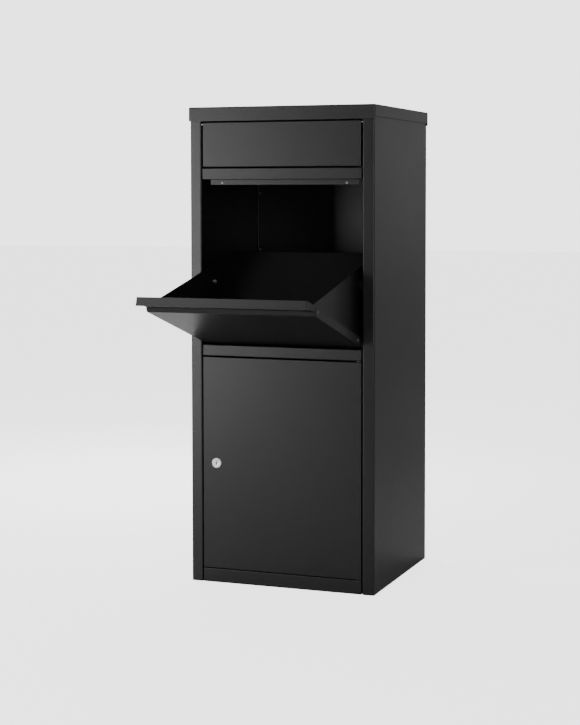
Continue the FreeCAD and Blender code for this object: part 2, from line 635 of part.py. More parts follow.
def door_stiffener():
    """A hat channel welded down the middle of the door's inner face."""
    face = FRONT_Y + CABINET_SHEET
    crown = face + STIFFENER_HEIGHT
    near, far = STIFFENER_HALF_WIDTHS
    path = [(-far, face), (-near, face), (-near, crown), (near, crown), (near, face), (far, face)]
    return prism_z(folded_corners(path, CABINET_SHEET, STIFFENER_BEND),
                   (DOOR_Z[0] + STIFFENER_END, DOOR_Z[1] - STIFFENER_END))


def door_bushes():
    """Flanged nylon bushes in the door's lower and upper returns."""
    bushes = []
    for z, up, thick in zip(DOOR_Z, (1, -1), DOOR_BUSH_FLANGES):
        flange = rod(DOOR_BUSH_RADIUS + BUSH_LIP, (*DOOR_PIVOT, z), (*DOOR_PIVOT, z - up * thick))
        sleeve = rod(DOOR_BUSH_RADIUS, (*DOOR_PIVOT, z), (*DOOR_PIVOT, z + up * DOOR_BUSH_SLEEVE))
        bore = rod(DOOR_PIN_RADIUS + RUNNING_CLEARANCE, (*DOOR_PIVOT, z - 5), (*DOOR_PIVOT, z + 5))
        bushes.append(flange.fuse(sleeve).removeSplitter().cut(bore))
    return Part.makeCompound(bushes)


def lock_axis(y):
    """A point on the lock's axis."""
    return (LOCK_X, y, LOCK_Z)


def cam_square(y):
    """The square on the end of the plug, between two y limits."""
    half = CAM_SQUARE / 2
    return box((LOCK_X - half, LOCK_X + half), y, (LOCK_Z - half, LOCK_Z + half))


def lock_body():
    """The lock's barrel, with its round face on the front of the door."""
    face_front = FRONT_Y - LOCK_FACE_HEIGHT
    face = rod(LOCK_FACE_RADIUS, lock_axis(FRONT_Y), lock_axis(face_front))
    rim = [edge for edge in face.Edges if len(edge.Vertexes) == 1
           and edge.Vertexes[0].Y < face_front + 0.1]
    face = face.makeFillet(0.9, rim)
    barrel = rod(LOCK_BARREL_RADIUS, lock_axis(FRONT_Y), lock_axis(FRONT_Y + LOCK_BARREL_LENGTH))
    bore = rod(PLUG_RADIUS + RUNNING_CLEARANCE, lock_axis(face_front - 1),
               lock_axis(FRONT_Y + LOCK_BARREL_LENGTH + 1))
    return face.fuse(barrel).removeSplitter().cut(bore)


def lock_nut():
    """The nut that clamps the lock to the door."""
    face = FRONT_Y + CABINET_SHEET
    back = face + LOCK_NUT_HEIGHT
    nut = hexagon(LOCK_NUT_FLATS, lock_axis(face), lock_axis(back))
    return nut.cut(rod(LOCK_BARREL_RADIUS, lock_axis(face - 1), lock_axis(back + 1)))


def lock_plug():
    """The turning plug, with an upright keyway and a square end for the cam."""
    front = FRONT_Y - LOCK_FACE_HEIGHT + PLUG_SETBACK
    plug = rod(PLUG_RADIUS, lock_axis(front), lock_axis(CAM_FRONT_Y))
    below, above = KEYWAY_REACH
    keyway = box((LOCK_X - KEYWAY_WIDTH / 2, LOCK_X + KEYWAY_WIDTH / 2),
                 (front - 1, front + KEYWAY_DEPTH), (LOCK_Z + below, LOCK_Z + above))
    thread = rod(CAM_SCREW_RADIUS, lock_axis(CAM_BACK_Y - CAM_SCREW_DEPTH), lock_axis(CAM_BACK_Y + 1))
    plug = plug.fuse(cam_square((CAM_FRONT_Y, CAM_BACK_Y))).removeSplitter()
    return plug.cut([keyway, thread])


def lock_cam():
    """The cam, a flat tongue that hangs down when the lock is open."""
    half = CAM_WIDTH / 2
    root_round = half - 0.01
    corners = [(LOCK_X - half, LOCK_Z + half, root_round),
               (LOCK_X - half, LOCK_Z - CAM_LENGTH, CAM_TIP_ROUND),
               (LOCK_X + half, LOCK_Z - CAM_LENGTH, CAM_TIP_ROUND),
               (LOCK_X + half, LOCK_Z + half, root_round)]
    wire = rounded_outline(corners, lambda x, z: Vector(x, CAM_FRONT_Y, z))
    tongue = Part.Face(wire).extrude(Vector(0, CAM_THICKNESS, 0))
    return tongue.cut(cam_square((CAM_FRONT_Y - 1, CAM_BACK_Y + 1)))


def cam_screw():
    """The hexagon screw that holds the cam."""
    head = hexagon(SCREW_HEAD_FLATS, lock_axis(CAM_BACK_Y), lock_axis(CAM_BACK_Y + SCREW_HEAD_HEIGHT))
    shank = rod(CAM_SCREW_RADIUS, lock_axis(CAM_BACK_Y - CAM_SCREW_DEPTH), lock_axis(CAM_BACK_Y))
    return head.fuse(shank).removeSplitter()


# ---- all the nodes -----------------------------------------------------------------------
def build():
    """Every piece by name."""
    right_side = side_panel()
    wing = hopper_wing()
    nodes = {
        "lid": lid(),
        "left_side_panel": mirrored(right_side),
        "right_side_panel": right_side,
        "back_panel": back_panel(),
        "back_panel_rivets": back_rivets(),
        "base_plate": base_plate(),
        "bottom_rail": rail((0, BOTTOM_RAIL_TOP_Z)).cut(pin_hole(BOTTOM_RAIL_TOP_Z)),
        "mid_rail": rail(MID_RAIL_Z).cut(pin_hole(MID_RAIL_Z[0])),
        "upper_rail": rail(UPPER_RAIL_Z),
        "stop_strip": stop_strip(),
        "stop_strip_rivets": stop_strip_rivets(),
        "hopper_pivot_pins": hopper_pins(),
        "letter_flap_pins": letter_pins(),
        "door_pivot_pins": door_pins(),
        "door_stop_pads": door_pads(),
        "letter_flap": letter_flap(),
        "door_panel": door_panel(),
        "door_stiffener": door_stiffener(),
        "door_bushes": door_bushes(),
        "lock_body": lock_body(),
        "lock_nut": lock_nut(),
        "lock_plug": lock_plug(),
        "lock_cam": lock_cam(),
        "cam_screw": cam_screw(),
    }
    hopper = {
        "hopper_flap": hopper_flap(),
        "hopper_handle": hopper_handle(),
        "hopper_left_wing": mirrored(wing),
        "hopper_right_wing": wing,
        "hopper_rear_plate": hopper_rear_plate(),
        "hopper_rivets": hopper_rivets(),
        "hopper_bushes": hopper_bushes(),
        "hopper_stop_bolts": stop_bolts(),
        "hopper_stop_bumpers": stop_bumpers(),
        "hopper_stop_nuts": stop_nuts(),
    }
    for name, shape in hopper.items():
        nodes[name] = swung_open(shape)
    return nodes


os.makedirs("parts", exist_ok=True)
for node_name, node_shape in build().items():
    if not node_shape.isValid():
        print("not valid:", node_name)
    node_shape.exportStep("parts/" + node_name + ".step")
    print(node_name, "solids", len(node_shape.Solids), "volume", round(node_shape.Volume))
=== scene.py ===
"""Finished look of the parcel drop box: folded sheet steel under a satin black powder coat.

Everything is in metres, in the frame's own axes: -Y is the front, +X the right-hand side
seen from the front, +Z is up. Sheet pieces are folded up from flat blanks, given their bend
radius, thickened inwards and eased along their cut edges.
"""
import json
import math

import bmesh
import bpy
from mathutils import Matrix, Vector


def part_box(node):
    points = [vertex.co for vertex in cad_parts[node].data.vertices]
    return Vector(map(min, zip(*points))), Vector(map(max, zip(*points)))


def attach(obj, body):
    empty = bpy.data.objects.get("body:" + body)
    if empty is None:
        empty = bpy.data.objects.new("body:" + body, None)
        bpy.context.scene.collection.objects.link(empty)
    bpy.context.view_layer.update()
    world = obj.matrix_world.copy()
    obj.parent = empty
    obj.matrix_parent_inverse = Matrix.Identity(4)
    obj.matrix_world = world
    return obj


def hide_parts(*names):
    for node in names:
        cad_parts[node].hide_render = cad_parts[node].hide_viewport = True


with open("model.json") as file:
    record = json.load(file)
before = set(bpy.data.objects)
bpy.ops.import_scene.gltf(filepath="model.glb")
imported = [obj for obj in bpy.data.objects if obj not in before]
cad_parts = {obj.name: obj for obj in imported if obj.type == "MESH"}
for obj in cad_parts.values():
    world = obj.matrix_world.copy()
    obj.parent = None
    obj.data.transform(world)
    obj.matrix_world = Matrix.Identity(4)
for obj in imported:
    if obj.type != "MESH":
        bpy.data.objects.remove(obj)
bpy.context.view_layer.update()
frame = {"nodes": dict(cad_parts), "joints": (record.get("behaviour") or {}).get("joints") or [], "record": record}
bpy.ops.object.select_all(action="DESELECT")

# ---- sheet, bends and shading ------------------------------------------------------------
CABINET_SHEET = 0.0012
PANEL_SHEET = 0.0010             # the letter flap and the hopper
CABINET_BEND = 0.0030            # outer bend radius of the side sheets
TRAY_BEND = 0.0025               # of every other sheet but the stop strip
WING_BEND = 0.0018               # of the wings' feet
WELD_ROUND = 0.0014              # ground corner where two flanges are welded
BEND_STEPS = 6
BEND_FROM = math.radians(8)      # faces that meet at more than this are joined by a bend
CUT_EDGE = 0.00018               # softening of every cut edge under the coat
CUT_EDGE_STEPS = 2
CUT_EDGE_FROM = math.radians(60)
CRISP_FROM = math.radians(32)    # edges that turn more than this are shaded crisp
CRISP_FROM_TURNED = math.radians(35)
FLAT_WEIGHT = 50                 # how strongly large flats set the shading beside them
FLAT = 1e-5                      # how far from a plane a point still counts as on it

# ---- cabinet sizes that the frame's boxes don't give -------------------------------------
LID_SIDE_SKIRT = 0.0250
STILE_WIDTH = 0.0260
STILE_RETURN = 0.0200
STILE_LEAN = 0.0008              # the stiles lean back a little towards their outer edges
REAR_FLANGE = 0.0155
TOP_FLANGE = 0.0150
TOP_FLANGE_GAP = 0.0060          # the top flange stops this far from the folds beside it
LIP_TOP_Z = 0.8910               # the stop lip ends here, and above it the return is
SHORT_RETURN_Y = -0.1700         # cut back to here
STRIP_HEM = 0.0095
STRIP_HEM_GAP = 0.0002           # air between the stop strip and its hem
STRIP_BEND_EASE = 0.00002        # keeps the hem's two bends from meeting

LETTER_FLAP_DEPTH = 0.0160
LETTER_FLAP_FOOT_Z = 0.8923
LETTER_LIP_HALF = 0.1660

# ---- hopper sizes, with the hopper shut --------------------------------------------------
HOPPER_HALF_WIDTH = 0.1795
HOPPER_BACK_Y = -0.1700
FLAP_FOOT_Z = 0.5160
FLAP_TOP_Z = 0.8623
RECESS_HALF_WIDTH = 0.1785
RECESS_FOOT_Z = 0.8133
RECESS_BACK = (-0.1799, 0.8183)  # y and z
HANDLE_Y = (-0.1870, -0.1690)    # front and back
HANDLE_TOP_Z = 0.8633
HANDLE_SIDE_Z = 0.8260           # its turned-back ends reach down to here
HANDLE_TAPER = (0.0085, 0.0340)  # how much those ends narrow, and over what length
WING_FACE_X = 0.1682
WING_FOOT_Y = -0.1736
WING_FOOT_FRONT_Y = -0.1836
WING_FOOT_Z = (0.5360, 0.8120)   # lower and upper end
WING_HEEL = (-0.1695, 0.5170)    # the three corners of the triangle, y and z
WING_SHOULDER = (-0.1701, 0.8166)
WING_TIP = (0.0358, 0.4474)
REAR_PLATE_HALF_WIDTH = 0.1672
REAR_PLATE_FOOT_Y = -0.1845
REAR_PLATE_HEM = 0.0120

# ---- rivets and lock ---------------------------------------------------------------------
RIVET_HEAD = 0.0032              # radii of the head, the shank and the upset tail
RIVET_SHANK = 0.0016
RIVET_TAIL = 0.0024
RIVET_RISE = 0.0011
RIVET_GRIP = 0.0024
RIVET_TAIL_LENGTH = 0.0016
RIVET_STEPS = 32
RIVET_ROUNDING = 0.75            # share of the rise that the head's edge is rounded by
RIVET_ROUNDING_STEPS = 4
RIVET_CROWN = ((0.0009, 0.0), (0.00015, -0.0009), (0.0004, 0.0), (0.0001, 0.0003))

TURNING_STEPS = 64
CUTTER_CLEAR = 0.0010            # how far a cutting block stands out of the face it cuts
LOCK_BORE = 0.0081
LOCK_BORE_EDGE = 0.0004
LOCK_RIM = 0.0009                # rounding of the face's rim
LOCK_RIM_STEPS = 5
LOCK_BACK_EDGE = 0.00015
LOCK_BARREL = 0.0095
LOCK_NECK = 0.0004               # how much slimmer the barrel is just behind the face
LOCK_THREAD = 0.0010
LOCK_THREAD_DEPTH = 0.0005
NOTCH_AT = math.radians(42)      # clockwise from the top
NOTCH_HALF_WIDTH = 0.0016
NOTCH_HALF_HEIGHT = 0.0013
NOTCH_FLOOR = 0.0003             # what is left behind the notch
PLUG_DISH = ((0, 0.0003), (0.3, 0.00026), (0.62, 0.0001), (0.7, 0))  # share of radius, depth
PLUG_EDGE = 0.0003
PLUG_BACK_EDGE = 0.0002
KEYWAY_WIDTH = 0.0022
KEYWAY_REACH = (-0.0045, 0.0042)
KEYWAY_DEPTH = 0.0090
WARD_REACH = 2.4                 # from the axis, in half widths of the keyway
WARD_OVERLAP = 0.0002
WARD_Z = (-0.0012, 0.0002)
CAM_SQUARE = 0.0080
CAM_SQUARE_EDGE = 0.0004

# ---- studio, in the units of Blender's world, lamps and camera ---------------------------
FLOOR_SIZE = 40
FLOOR_GREY = 0.82
FLOOR_ROUGHNESS = 0.9
FLOOR_GLOW = 2.6
SEEN_WHITE = 3.0
CEILING_STARTS = 0.35            # how far upwards a direction looks, 0 level and 1 straight up
CEILING_FULL = 0.75
CEILING_DIMS_TO = 0.08
LEFT_WALL = 0.36
RIGHT_WALL = 0.50
FRONT_WALL = 0.14
LAMPS = (                        # name, place, aim, width, height and power
    ("key_softbox", (-1.5, -2.2, 0.66), (0, -0.19, 0.66), 0.8, 1.2, 24),
    ("high_softbox", (-1.2, -2.1, 2.0), (0, -0.4, 0.65), 0.9, 0.7, 9),
    ("floor_softbox", (-0.9, 0.9, 1.0), (-0.9, 0.9, 0), 0.9, 0.9, 16.5),
    ("rear_softbox", (0.62, 1.6, 0.6), (0.2, 0, 0.55), 0.5, 1.1, 0.32),
    ("right_softbox", (3.0, -0.1, 1.3), (0.2, 0, 0.6), 1.5, 1.5, 8),
    ("fill_softbox", (1.9, -2.9, 1.15), (0, -0.2, 0.6), 1.2, 1.6, 30),
    ("top_softbox", (0.4, 1.3, 2.7), (0, 0, 1.0), 1.4, 1.0, 5.5),
)
CAMERA_LENS = 79.8
CAMERA_SHIFT = (-0.0608, -0.1126)
CAMERA_PLACE = (1.2501, -3.3243, 0.8335)
CAMERA_TURN = (86.94, 0, 19.82)  # degrees

# ---- colours and roughness: a pair is what the dark and the light patches have -----------
COAT = ((0.0075, 0.0076, 0.0079), (0.0110, 0.0111, 0.0114))
# painted highlight along the coat's edges and bends, with a little worn coat there too
COAT_EDGE_HIGHLIGHT_AND_WEAR = (0.045, 0.045, 0.046)
COAT_ROUGHNESS = 0.365
COAT_UNEVEN = 0.02               # how far the patches carry the roughness up and down
COAT_POLISHED = 0.10             # how much smoother the worn edges are, which also carry a painted highlight
DUST = (0.30, 0.29, 0.27)
DUST_ROUGHNESS = 0.8
ZINC = ((0.54, 0.56, 0.60), (0.70, 0.69, 0.64))
ZINC_SCRATCHED = (0.80, 0.80, 0.79)
ZINC_ROUGHNESS = (0.28, 0.44)
LOCK_PLATING = ((0.86, 0.86, 0.87), (0.92, 0.92, 0.91))
LOCK_ROUGHNESS = (0.36, 0.42)
LOCK_SCRATCH_ROUGHNESS = 0.50
RUBBER = ((0.014, 0.014, 0.014), (0.028, 0.028, 0.027))
RUBBER_RUBBED = (0.06, 0.06, 0.058)
RUBBER_ROUGHNESS = (0.72, 0.88)
NYLON = ((0.020, 0.020, 0.021), (0.034, 0.034, 0.034))
NYLON_ROUGHNESS = (0.40, 0.56)
ALUMINIUM = ((0.20, 0.20, 0.21), (0.34, 0.34, 0.35))
ALUMINIUM_RUBBED = (0.55, 0.55, 0.56)
ALUMINIUM_ROUGHNESS = (0.40, 0.55)

FRONT_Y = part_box("door_panel")[0].y
REAR_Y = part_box("right_side_panel")[1].y
JOINTS = {joint["name"]: joint for joint in frame["joints"]}
HOPPER_PIVOT = Vector(JOINTS["hopper_hinge"]["pos_m"])
HOPPER_OPEN = math.radians(JOINTS["hopper_hinge"]["range_deg"][1])


# ---- bench work --------------------------------------------------------------------------
def on(axis, value):
    """A test for points that lie on a plane across one axis."""
    return lambda point: abs(point[axis] - value) < FLAT


def both(*tests):
    """A test for points that pass every one of several tests."""
    return lambda point: all(test(point) for test in tests)


def pick(piece):
    """Makes a piece the active one, and the only one that is selected."""
    bpy.ops.object.select_all(action="DESELECT")
    bpy.context.view_layer.objects.active = piece
    piece.select_set(True)


def start_edit(piece):
    """Opens a piece for mesh work, with nothing selected."""
    pick(piece)
    bpy.ops.object.mode_set(mode="EDIT")
    bpy.ops.mesh.select_all(action="DESELECT")


def end_edit():
    """Closes the piece that is open for mesh work."""
    bpy.ops.object.mode_set(mode="OBJECT")


def choose(kind, test):
    """Selects the VERTs, EDGEs or FACEs of the open piece whose points all pass a test."""
    bpy.ops.mesh.select_mode(type=kind)
    bpy.ops.mesh.select_all(action="DESELECT")
    data = bpy.context.edit_object.data
    mesh = bmesh.from_edit_mesh(data)
    parts = {"VERT": mesh.verts, "EDGE": mesh.edges, "FACE": mesh.faces}[kind]
    for part in parts:
        points = [part.co] if kind == "VERT" else [vertex.co for vertex in part.verts]
        if all(test(point) for point in points):
            part.select_set(True)
    mesh.select_flush_mode()
    bmesh.update_edit_mesh(data)


def choose_rim():
    """Selects the free edges of the open piece."""
    bpy.ops.mesh.select_mode(type="EDGE")
    bpy.ops.mesh.select_all(action="DESELECT")
    bpy.ops.mesh.select_non_manifold(extend=False)


def pull(by):
    """Extrudes the selected faces by a vector."""
    bpy.ops.mesh.extrude_region_move(TRANSFORM_OT_translate={"value": by})


def fold(by):
    """Extrudes only the selected edges by a vector, so that no face closes behind them."""
    bpy.ops.mesh.extrude_edges_move(TRANSFORM_OT_translate={"value": by})


def flange(test, by):
    """Pulls the edges that pass a test out into a new flange."""
    choose("EDGE", test)
    fold(by)


def trim(plane_point, plane_normal):
    """Cuts the open piece along a plane and takes away what its normal points to."""
    bpy.ops.mesh.select_all(action="SELECT")
    bpy.ops.mesh.bisect(plane_co=plane_point, plane_no=plane_normal, clear_outer=True)


def score(plane_point, plane_normal):
    """Cuts a line of edges along a plane and keeps both sides."""
    bpy.ops.mesh.select_all(action="SELECT")
    bpy.ops.mesh.bisect(plane_co=plane_point, plane_no=plane_normal)


def settle(piece):
    """Puts a piece's place, turn and scale into its mesh."""
    pick(piece)
    bpy.ops.object.transform_apply(location=True, rotation=True, scale=True)


def blank(name, low, high):
    """A flat sheet blank between two corners, thin along the axis that they share."""
    low, high = Vector(low), Vector(high)
    size = high - low
    thin = min(range(3), key=lambda axis: abs(size[axis]))
    turn = ((0, math.pi / 2, 0), (math.pi / 2, 0, 0), (0, 0, 0))[thin]
    bpy.ops.mesh.primitive_plane_add(size=1, location=(low + high) / 2, rotation=turn)
    piece = bpy.context.active_object
    piece.name = name
    piece.scale = ((size.z, size.y, 1), (size.x, size.z, 1), (size.x, size.y, 1))[thin]
    settle(piece)
    start_edit(piece)
    return piece


def apply_modifier(piece, kind, **settings):
    """Adds one modifier to a piece and applies it."""
    modifier = piece.modifiers.new(kind.title(), kind)
    for setting, value in settings.items():
        setattr(modifier, setting, value)
    bpy.context.view_layer.objects.active = piece
    bpy.ops.object.modifier_apply(modifier=modifier.name)


def smooth(piece, crisp_from=CRISP_FROM):
    """Smooth shading over the bends that leaves the flats flat and the cut edges crisp."""
    pick(piece)
    bpy.ops.object.shade_smooth_by_angle(angle=crisp_from)
    apply_modifier(piece, "WEIGHTED_NORMAL", weight=FLAT_WEIGHT, keep_sharp=True)


def outward_faces(towards):
    """Turns the open piece's faces so that its largest one looks in a direction."""
    bpy.ops.mesh.select_all(action="SELECT")
    bpy.ops.mesh.normals_make_consistent(inside=False)
    mesh = bmesh.from_edit_mesh(bpy.context.edit_object.data)
    largest = max(mesh.faces, key=lambda face: face.calc_area())
    largest.normal_update()
    if largest.normal.dot(Vector(towards)) < 0:
        bpy.ops.mesh.flip_normals()


def finish_sheet(piece, sheet, bend, outward, welds=None, cut_out=None):
    """Gives an open folded blank its bend radius, its thickness and soft cut edges.

    The edges that pass the welds test get a small ground radius instead of a bend, and
    cut_out trims the folded blank before it is thickened.
    """
    outward_faces(outward)
    bpy.ops.mesh.select_mode(type="EDGE")
    bpy.ops.mesh.select_all(action="DESELECT")
    bpy.ops.mesh.edges_select_sharp(sharpness=BEND_FROM)
    bpy.ops.transform.edge_bevelweight(value=1.0)
    if welds:
        choose("EDGE", welds)
        bpy.ops.transform.edge_bevelweight(value=WELD_ROUND / bend - 1.0)
    end_edit()
    apply_modifier(piece, "BEVEL", width=bend, segments=BEND_STEPS, limit_method="WEIGHT",
                   use_clamp_overlap=False)
    if cut_out:
        start_edit(piece)
        cut_out()
        end_edit()
    apply_modifier(piece, "SOLIDIFY", thickness=sheet, offset=-1.0, use_even_offset=True)
    apply_modifier(piece, "BEVEL", width=CUT_EDGE, segments=CUT_EDGE_STEPS,
                   limit_method="ANGLE", angle_limit=CUT_EDGE_FROM)
    smooth(piece)
    return piece


def swing_open(piece):
    """Turns a hopper piece from shut onto its open stop."""
    there = Matrix.Translation(HOPPER_PIVOT)
    piece.matrix_world = there @ Matrix.Rotation(HOPPER_OPEN, 4, "X") @ there.inverted()
    settle(piece)
    return piece


def own_copy(piece, name):
    """A copy of a piece, with its own mesh."""
    copy = piece.copy()
    copy.data = piece.data.copy()
    copy.name = name
    bpy.context.scene.collection.objects.link(copy)
    return copy


def mirror_copy(piece, name):
    """A left-hand copy of a right-hand piece."""
    copy = own_copy(piece, name)
    copy.scale = (-1, 1, 1)
    settle(copy)
    bpy.ops.mesh.customdata_custom_splitnormals_clear()
    start_edit(copy)
    bpy.ops.mesh.select_all(action="SELECT")
    bpy.ops.mesh.flip_normals()
    end_edit()
    smooth(copy)
    return copy


def copy_to(pattern, name, place, outward):
    """A copy of a pattern piece, whose top looks along a direction."""
    copy = own_copy(pattern, name)
    turn = Vector(outward).to_track_quat("Z", "Y").to_matrix().to_4x4()
    copy.matrix_world = Matrix.Translation(place) @ turn
    settle(copy)
    return copy


def solids_of(node):
    """The lowest and highest corner of each separate solid in a node, from left to right."""
    data = frame["nodes"][node].data
    owner = {}

    def root(key):
        """The solid that a corner point belongs to so far."""
        while owner[key] != key:
            key = owner[key]
        return key

    keys = [tuple(round(value, 6) for value in vertex.co) for vertex in data.vertices]
    for key in keys:
        owner.setdefault(key, key)
    for face in data.polygons:
        first = root(keys[face.vertices[0]])
        for index in face.vertices[1:]:
            owner[root(keys[index])] = first
    groups = {}
    for key in owner:
        groups.setdefault(root(key), []).append(key)
    corners = [(Vector(map(min, zip(*points))), Vector(map(max, zip(*points))))
               for points in groups.values()]
    return sorted(corners, key=lambda box: tuple(round(value, 4) for value in box[0]))


# ---- cabinet -----------------------------------------------------------------------------
def lid_cap():
    """The lid: a cap folded down all round, with skirts that are shorter at the sides."""
    low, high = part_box("lid")
    piece = blank("lid_cap", (low.x, low.y, high.z), (high.x, high.y, high.z))
    choose_rim()
    fold((0, 0, low.z - high.z))

    def shorten_sides():
        """Takes the lower end off both side skirts, between the corner bends."""
        choose("FACE", lambda p: abs(abs(p.x) - high.x) < FLAT)
        bpy.ops.mesh.bisect(plane_co=(0, 0, high.z - LID_SIDE_SKIRT), plane_no=(0, 0, -1),
                            clear_outer=True)
    return finish_sheet(piece, CABINET_SHEET, TRAY_BEND, (0, 0, 1), cut_out=shorten_sides)


def side_sheet():
    """The right-hand side, folded into stile, return and stop lip, and at back and top."""
    low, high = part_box("right_side_panel")
    lip_edge = low.x
    outer = high.x
    stile_edge = outer - STILE_WIDTH
    lip_y = FRONT_Y + STILE_RETURN
    piece = blank("right_side_sheet", (outer, FRONT_Y + STILE_LEAN, low.z),
                  (outer, REAR_Y, high.z))
    flange(on(1, FRONT_Y + STILE_LEAN), (-STILE_WIDTH, -STILE_LEAN, 0))
    flange(on(1, FRONT_Y), (0, STILE_RETURN, 0))
    flange(on(1, lip_y), (lip_edge - stile_edge, 0, 0))
    flange(on(1, REAR_Y), (-REAR_FLANGE, 0, 0))
    score((0, lip_y + TOP_FLANGE_GAP, 0), (0, 1, 0))
    score((0, REAR_Y - TOP_FLANGE_GAP, 0), (0, 1, 0))
    flange(both(on(2, high.z), on(0, outer), lambda p: lip_y < p.y < REAR_Y - FLAT),
           (-TOP_FLANGE, 0, 0))

    def notch_for_letter_flap():
        """Cuts the stop lip and the back of the return away above the parcel opening."""
        choose("FACE", lambda p: p.x < stile_edge + FLAT)
        bpy.ops.mesh.bisect(plane_co=(0, 0, LIP_TOP_Z), plane_no=(0, 0, 1))
        choose("FACE", lambda p: p.x < stile_edge + FLAT and p.z > LIP_TOP_Z - FLAT
               and p.y > FRONT_Y + FLAT)
        bpy.ops.mesh.bisect(plane_co=(0, SHORT_RETURN_Y, 0), plane_no=(0, 1, 0),
                            clear_outer=True)
    finish_sheet(piece, CABINET_SHEET, CABINET_BEND, (1, 0, 0), cut_out=notch_for_letter_flap)
    start_edit(piece)
    choose("VERT", lambda p: p.z > high.z)
    bpy.ops.transform.resize(value=(1, 1, 0), center_override=(0, 0, high.z))
    bpy.ops.mesh.select_all(action="SELECT")
    bpy.ops.mesh.remove_doubles(threshold=FLAT)
    bpy.ops.mesh.dissolve_degenerate(threshold=FLAT)
    end_edit()
    smooth(piece)
    return piece


def corners_of(low, high):
    """A test for points on a tray's four corners, which run back from its face."""
    return lambda p: (min(abs(p.x - low.x), abs(p.x - high.x)) < FLAT
                      and min(abs(p.z - low.z), abs(p.z - high.z)) < FLAT)


def tray(name, node, sheet):
    """A shallow tray, open at the back, whose corners are welded and ground."""
    low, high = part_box(node)
    piece = blank(name, (low.x, low.y, low.z), (high.x, low.y, high.z))
    choose_rim()
    fold((0, high.y - low.y, 0))
    return finish_sheet(piece, sheet, TRAY_BEND, (0, -1, 0), corners_of(low, high))


def stop_strip_sheet():
    """The stop along the top of the parcel opening; its lower edge is hemmed back."""
    low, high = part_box("stop_strip")
    hem = 2 * CABINET_SHEET + STRIP_HEM_GAP
    piece = blank("stop_strip_sheet", (low.x, low.y, low.z), (high.x, low.y, high.z))
    flange(on(2, low.z), (0, hem, 0))
    flange(on(1, low.y + hem), (0, 0, STRIP_HEM))
    return finish_sheet(piece, CABINET_SHEET, hem / 2 - STRIP_BEND_EASE, (0, -1, 0))


# ---- letter flap -------------------------------------------------------------------------
def letter_flap_shell():
    """The letter flap: a tray whose lower return ends in a lip that hooks behind the rail."""
    low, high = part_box("letter_flap")
    foot = LETTER_FLAP_FOOT_Z
    back = low.y + LETTER_FLAP_DEPTH
    piece = blank("letter_flap_shell", (low.x, low.y, foot), (high.x, low.y, high.z))
    choose_rim()
    fold((0, LETTER_FLAP_DEPTH, 0))
    score((-LETTER_LIP_HALF, 0, 0), (1, 0, 0))
    score((LETTER_LIP_HALF, 0, 0), (1, 0, 0))
    lip = both(on(1, back), on(2, foot), lambda p: abs(p.x) < LETTER_LIP_HALF + FLAT)
    flange(lip, (0, high.y - back, 0))
    flange(on(1, high.y), (0, 0, low.z - foot))
    corners = corners_of(Vector((low.x, back, foot)), high)
    return finish_sheet(piece, PANEL_SHEET, TRAY_BEND, (0, -1, 0), corners)


# ---- hopper, folded up shut and then swung open ------------------------------------------
def flap_shell():
    """The flap: its face, the finger recess along its free edge and a return all round."""
    piece = blank("hopper_flap_shell", (-HOPPER_HALF_WIDTH, FRONT_Y, FLAP_FOOT_Z),
                  (HOPPER_HALF_WIDTH, FRONT_Y, RECESS_FOOT_Z))
    recess_y, recess_z = RECESS_BACK
    flange(on(2, RECESS_FOOT_Z), (0, recess_y - FRONT_Y, recess_z - RECESS_FOOT_Z))
    share = RECESS_HALF_WIDTH / HOPPER_HALF_WIDTH
    bpy.ops.transform.resize(value=(share, 1, 1), center_override=(0, 0, 0))
    flange(on(2, recess_z), (0, 0, FLAP_TOP_Z - recess_z))
    choose_rim()
    fold((0, HOPPER_BACK_Y - FRONT_Y, 0))
    bpy.ops.transform.resize(value=(1, 0, 1), center_override=(0, HOPPER_BACK_Y, 0))
    corners = both(lambda p: abs(p.x) > RECESS_HALF_WIDTH - FLAT,
                   lambda p: min(abs(p.z - FLAP_FOOT_Z), abs(p.z - FLAP_TOP_Z)) < FLAT)
    finish_sheet(piece, PANEL_SHEET, TRAY_BEND, (0, -1, 0), corners)
    return swing_open(piece)


def handle_strip():
    """The pull strip over the flap's free edge; its turned-back ends taper."""
    front, back = HANDLE_Y
    piece = blank("handle_strip", (-HOPPER_HALF_WIDTH, front, HANDLE_TOP_Z),
                  (HOPPER_HALF_WIDTH, back, HANDLE_TOP_Z))
    for side in (-1, 1):
        flange(on(0, side * HOPPER_HALF_WIDTH), (0, 0, HANDLE_SIDE_Z - HANDLE_TOP_Z))
    narrowing, length = HANDLE_TAPER
    trim((0, front + narrowing, HANDLE_SIDE_Z), (0, -length, -narrowing))
    finish_sheet(piece, PANEL_SHEET, TRAY_BEND, (0, 0, 1))
    return swing_open(piece)


def wing_plate():
    """The right-hand wing: a triangular plate with a joggled foot inside the flap's return."""
    heel_y, heel_z = WING_HEEL
    top_y, top_z = WING_SHOULDER
    tip_y, tip_z = WING_TIP
    piece = blank("hopper_right_wing_plate", (WING_FACE_X, WING_FOOT_Y, tip_z),
                  (WING_FACE_X, tip_y, top_z))
    top_line = Vector((0, top_z - tip_z, tip_y - top_y))
    trim((WING_FACE_X, tip_y, tip_z), top_line)
    foot_line = Vector((0, tip_z - heel_z, heel_y - tip_y))
    trim((WING_FACE_X, tip_y, tip_z), foot_line)
    low_z, high_z = WING_FOOT_Z
    score((0, 0, low_z), (0, 0, 1))
    score((0, 0, high_z), (0, 0, 1))
    foot_x = RECESS_HALF_WIDTH
    flange(both(on(1, WING_FOOT_Y), lambda p: low_z - FLAT < p.z < high_z + FLAT),
           (foot_x - WING_FACE_X, 0, 0))
    flange(on(0, foot_x), (0, WING_FOOT_FRONT_Y - WING_FOOT_Y, 0))
    finish_sheet(piece, PANEL_SHEET, WING_BEND, (1, 0, 0))
    return swing_open(piece)


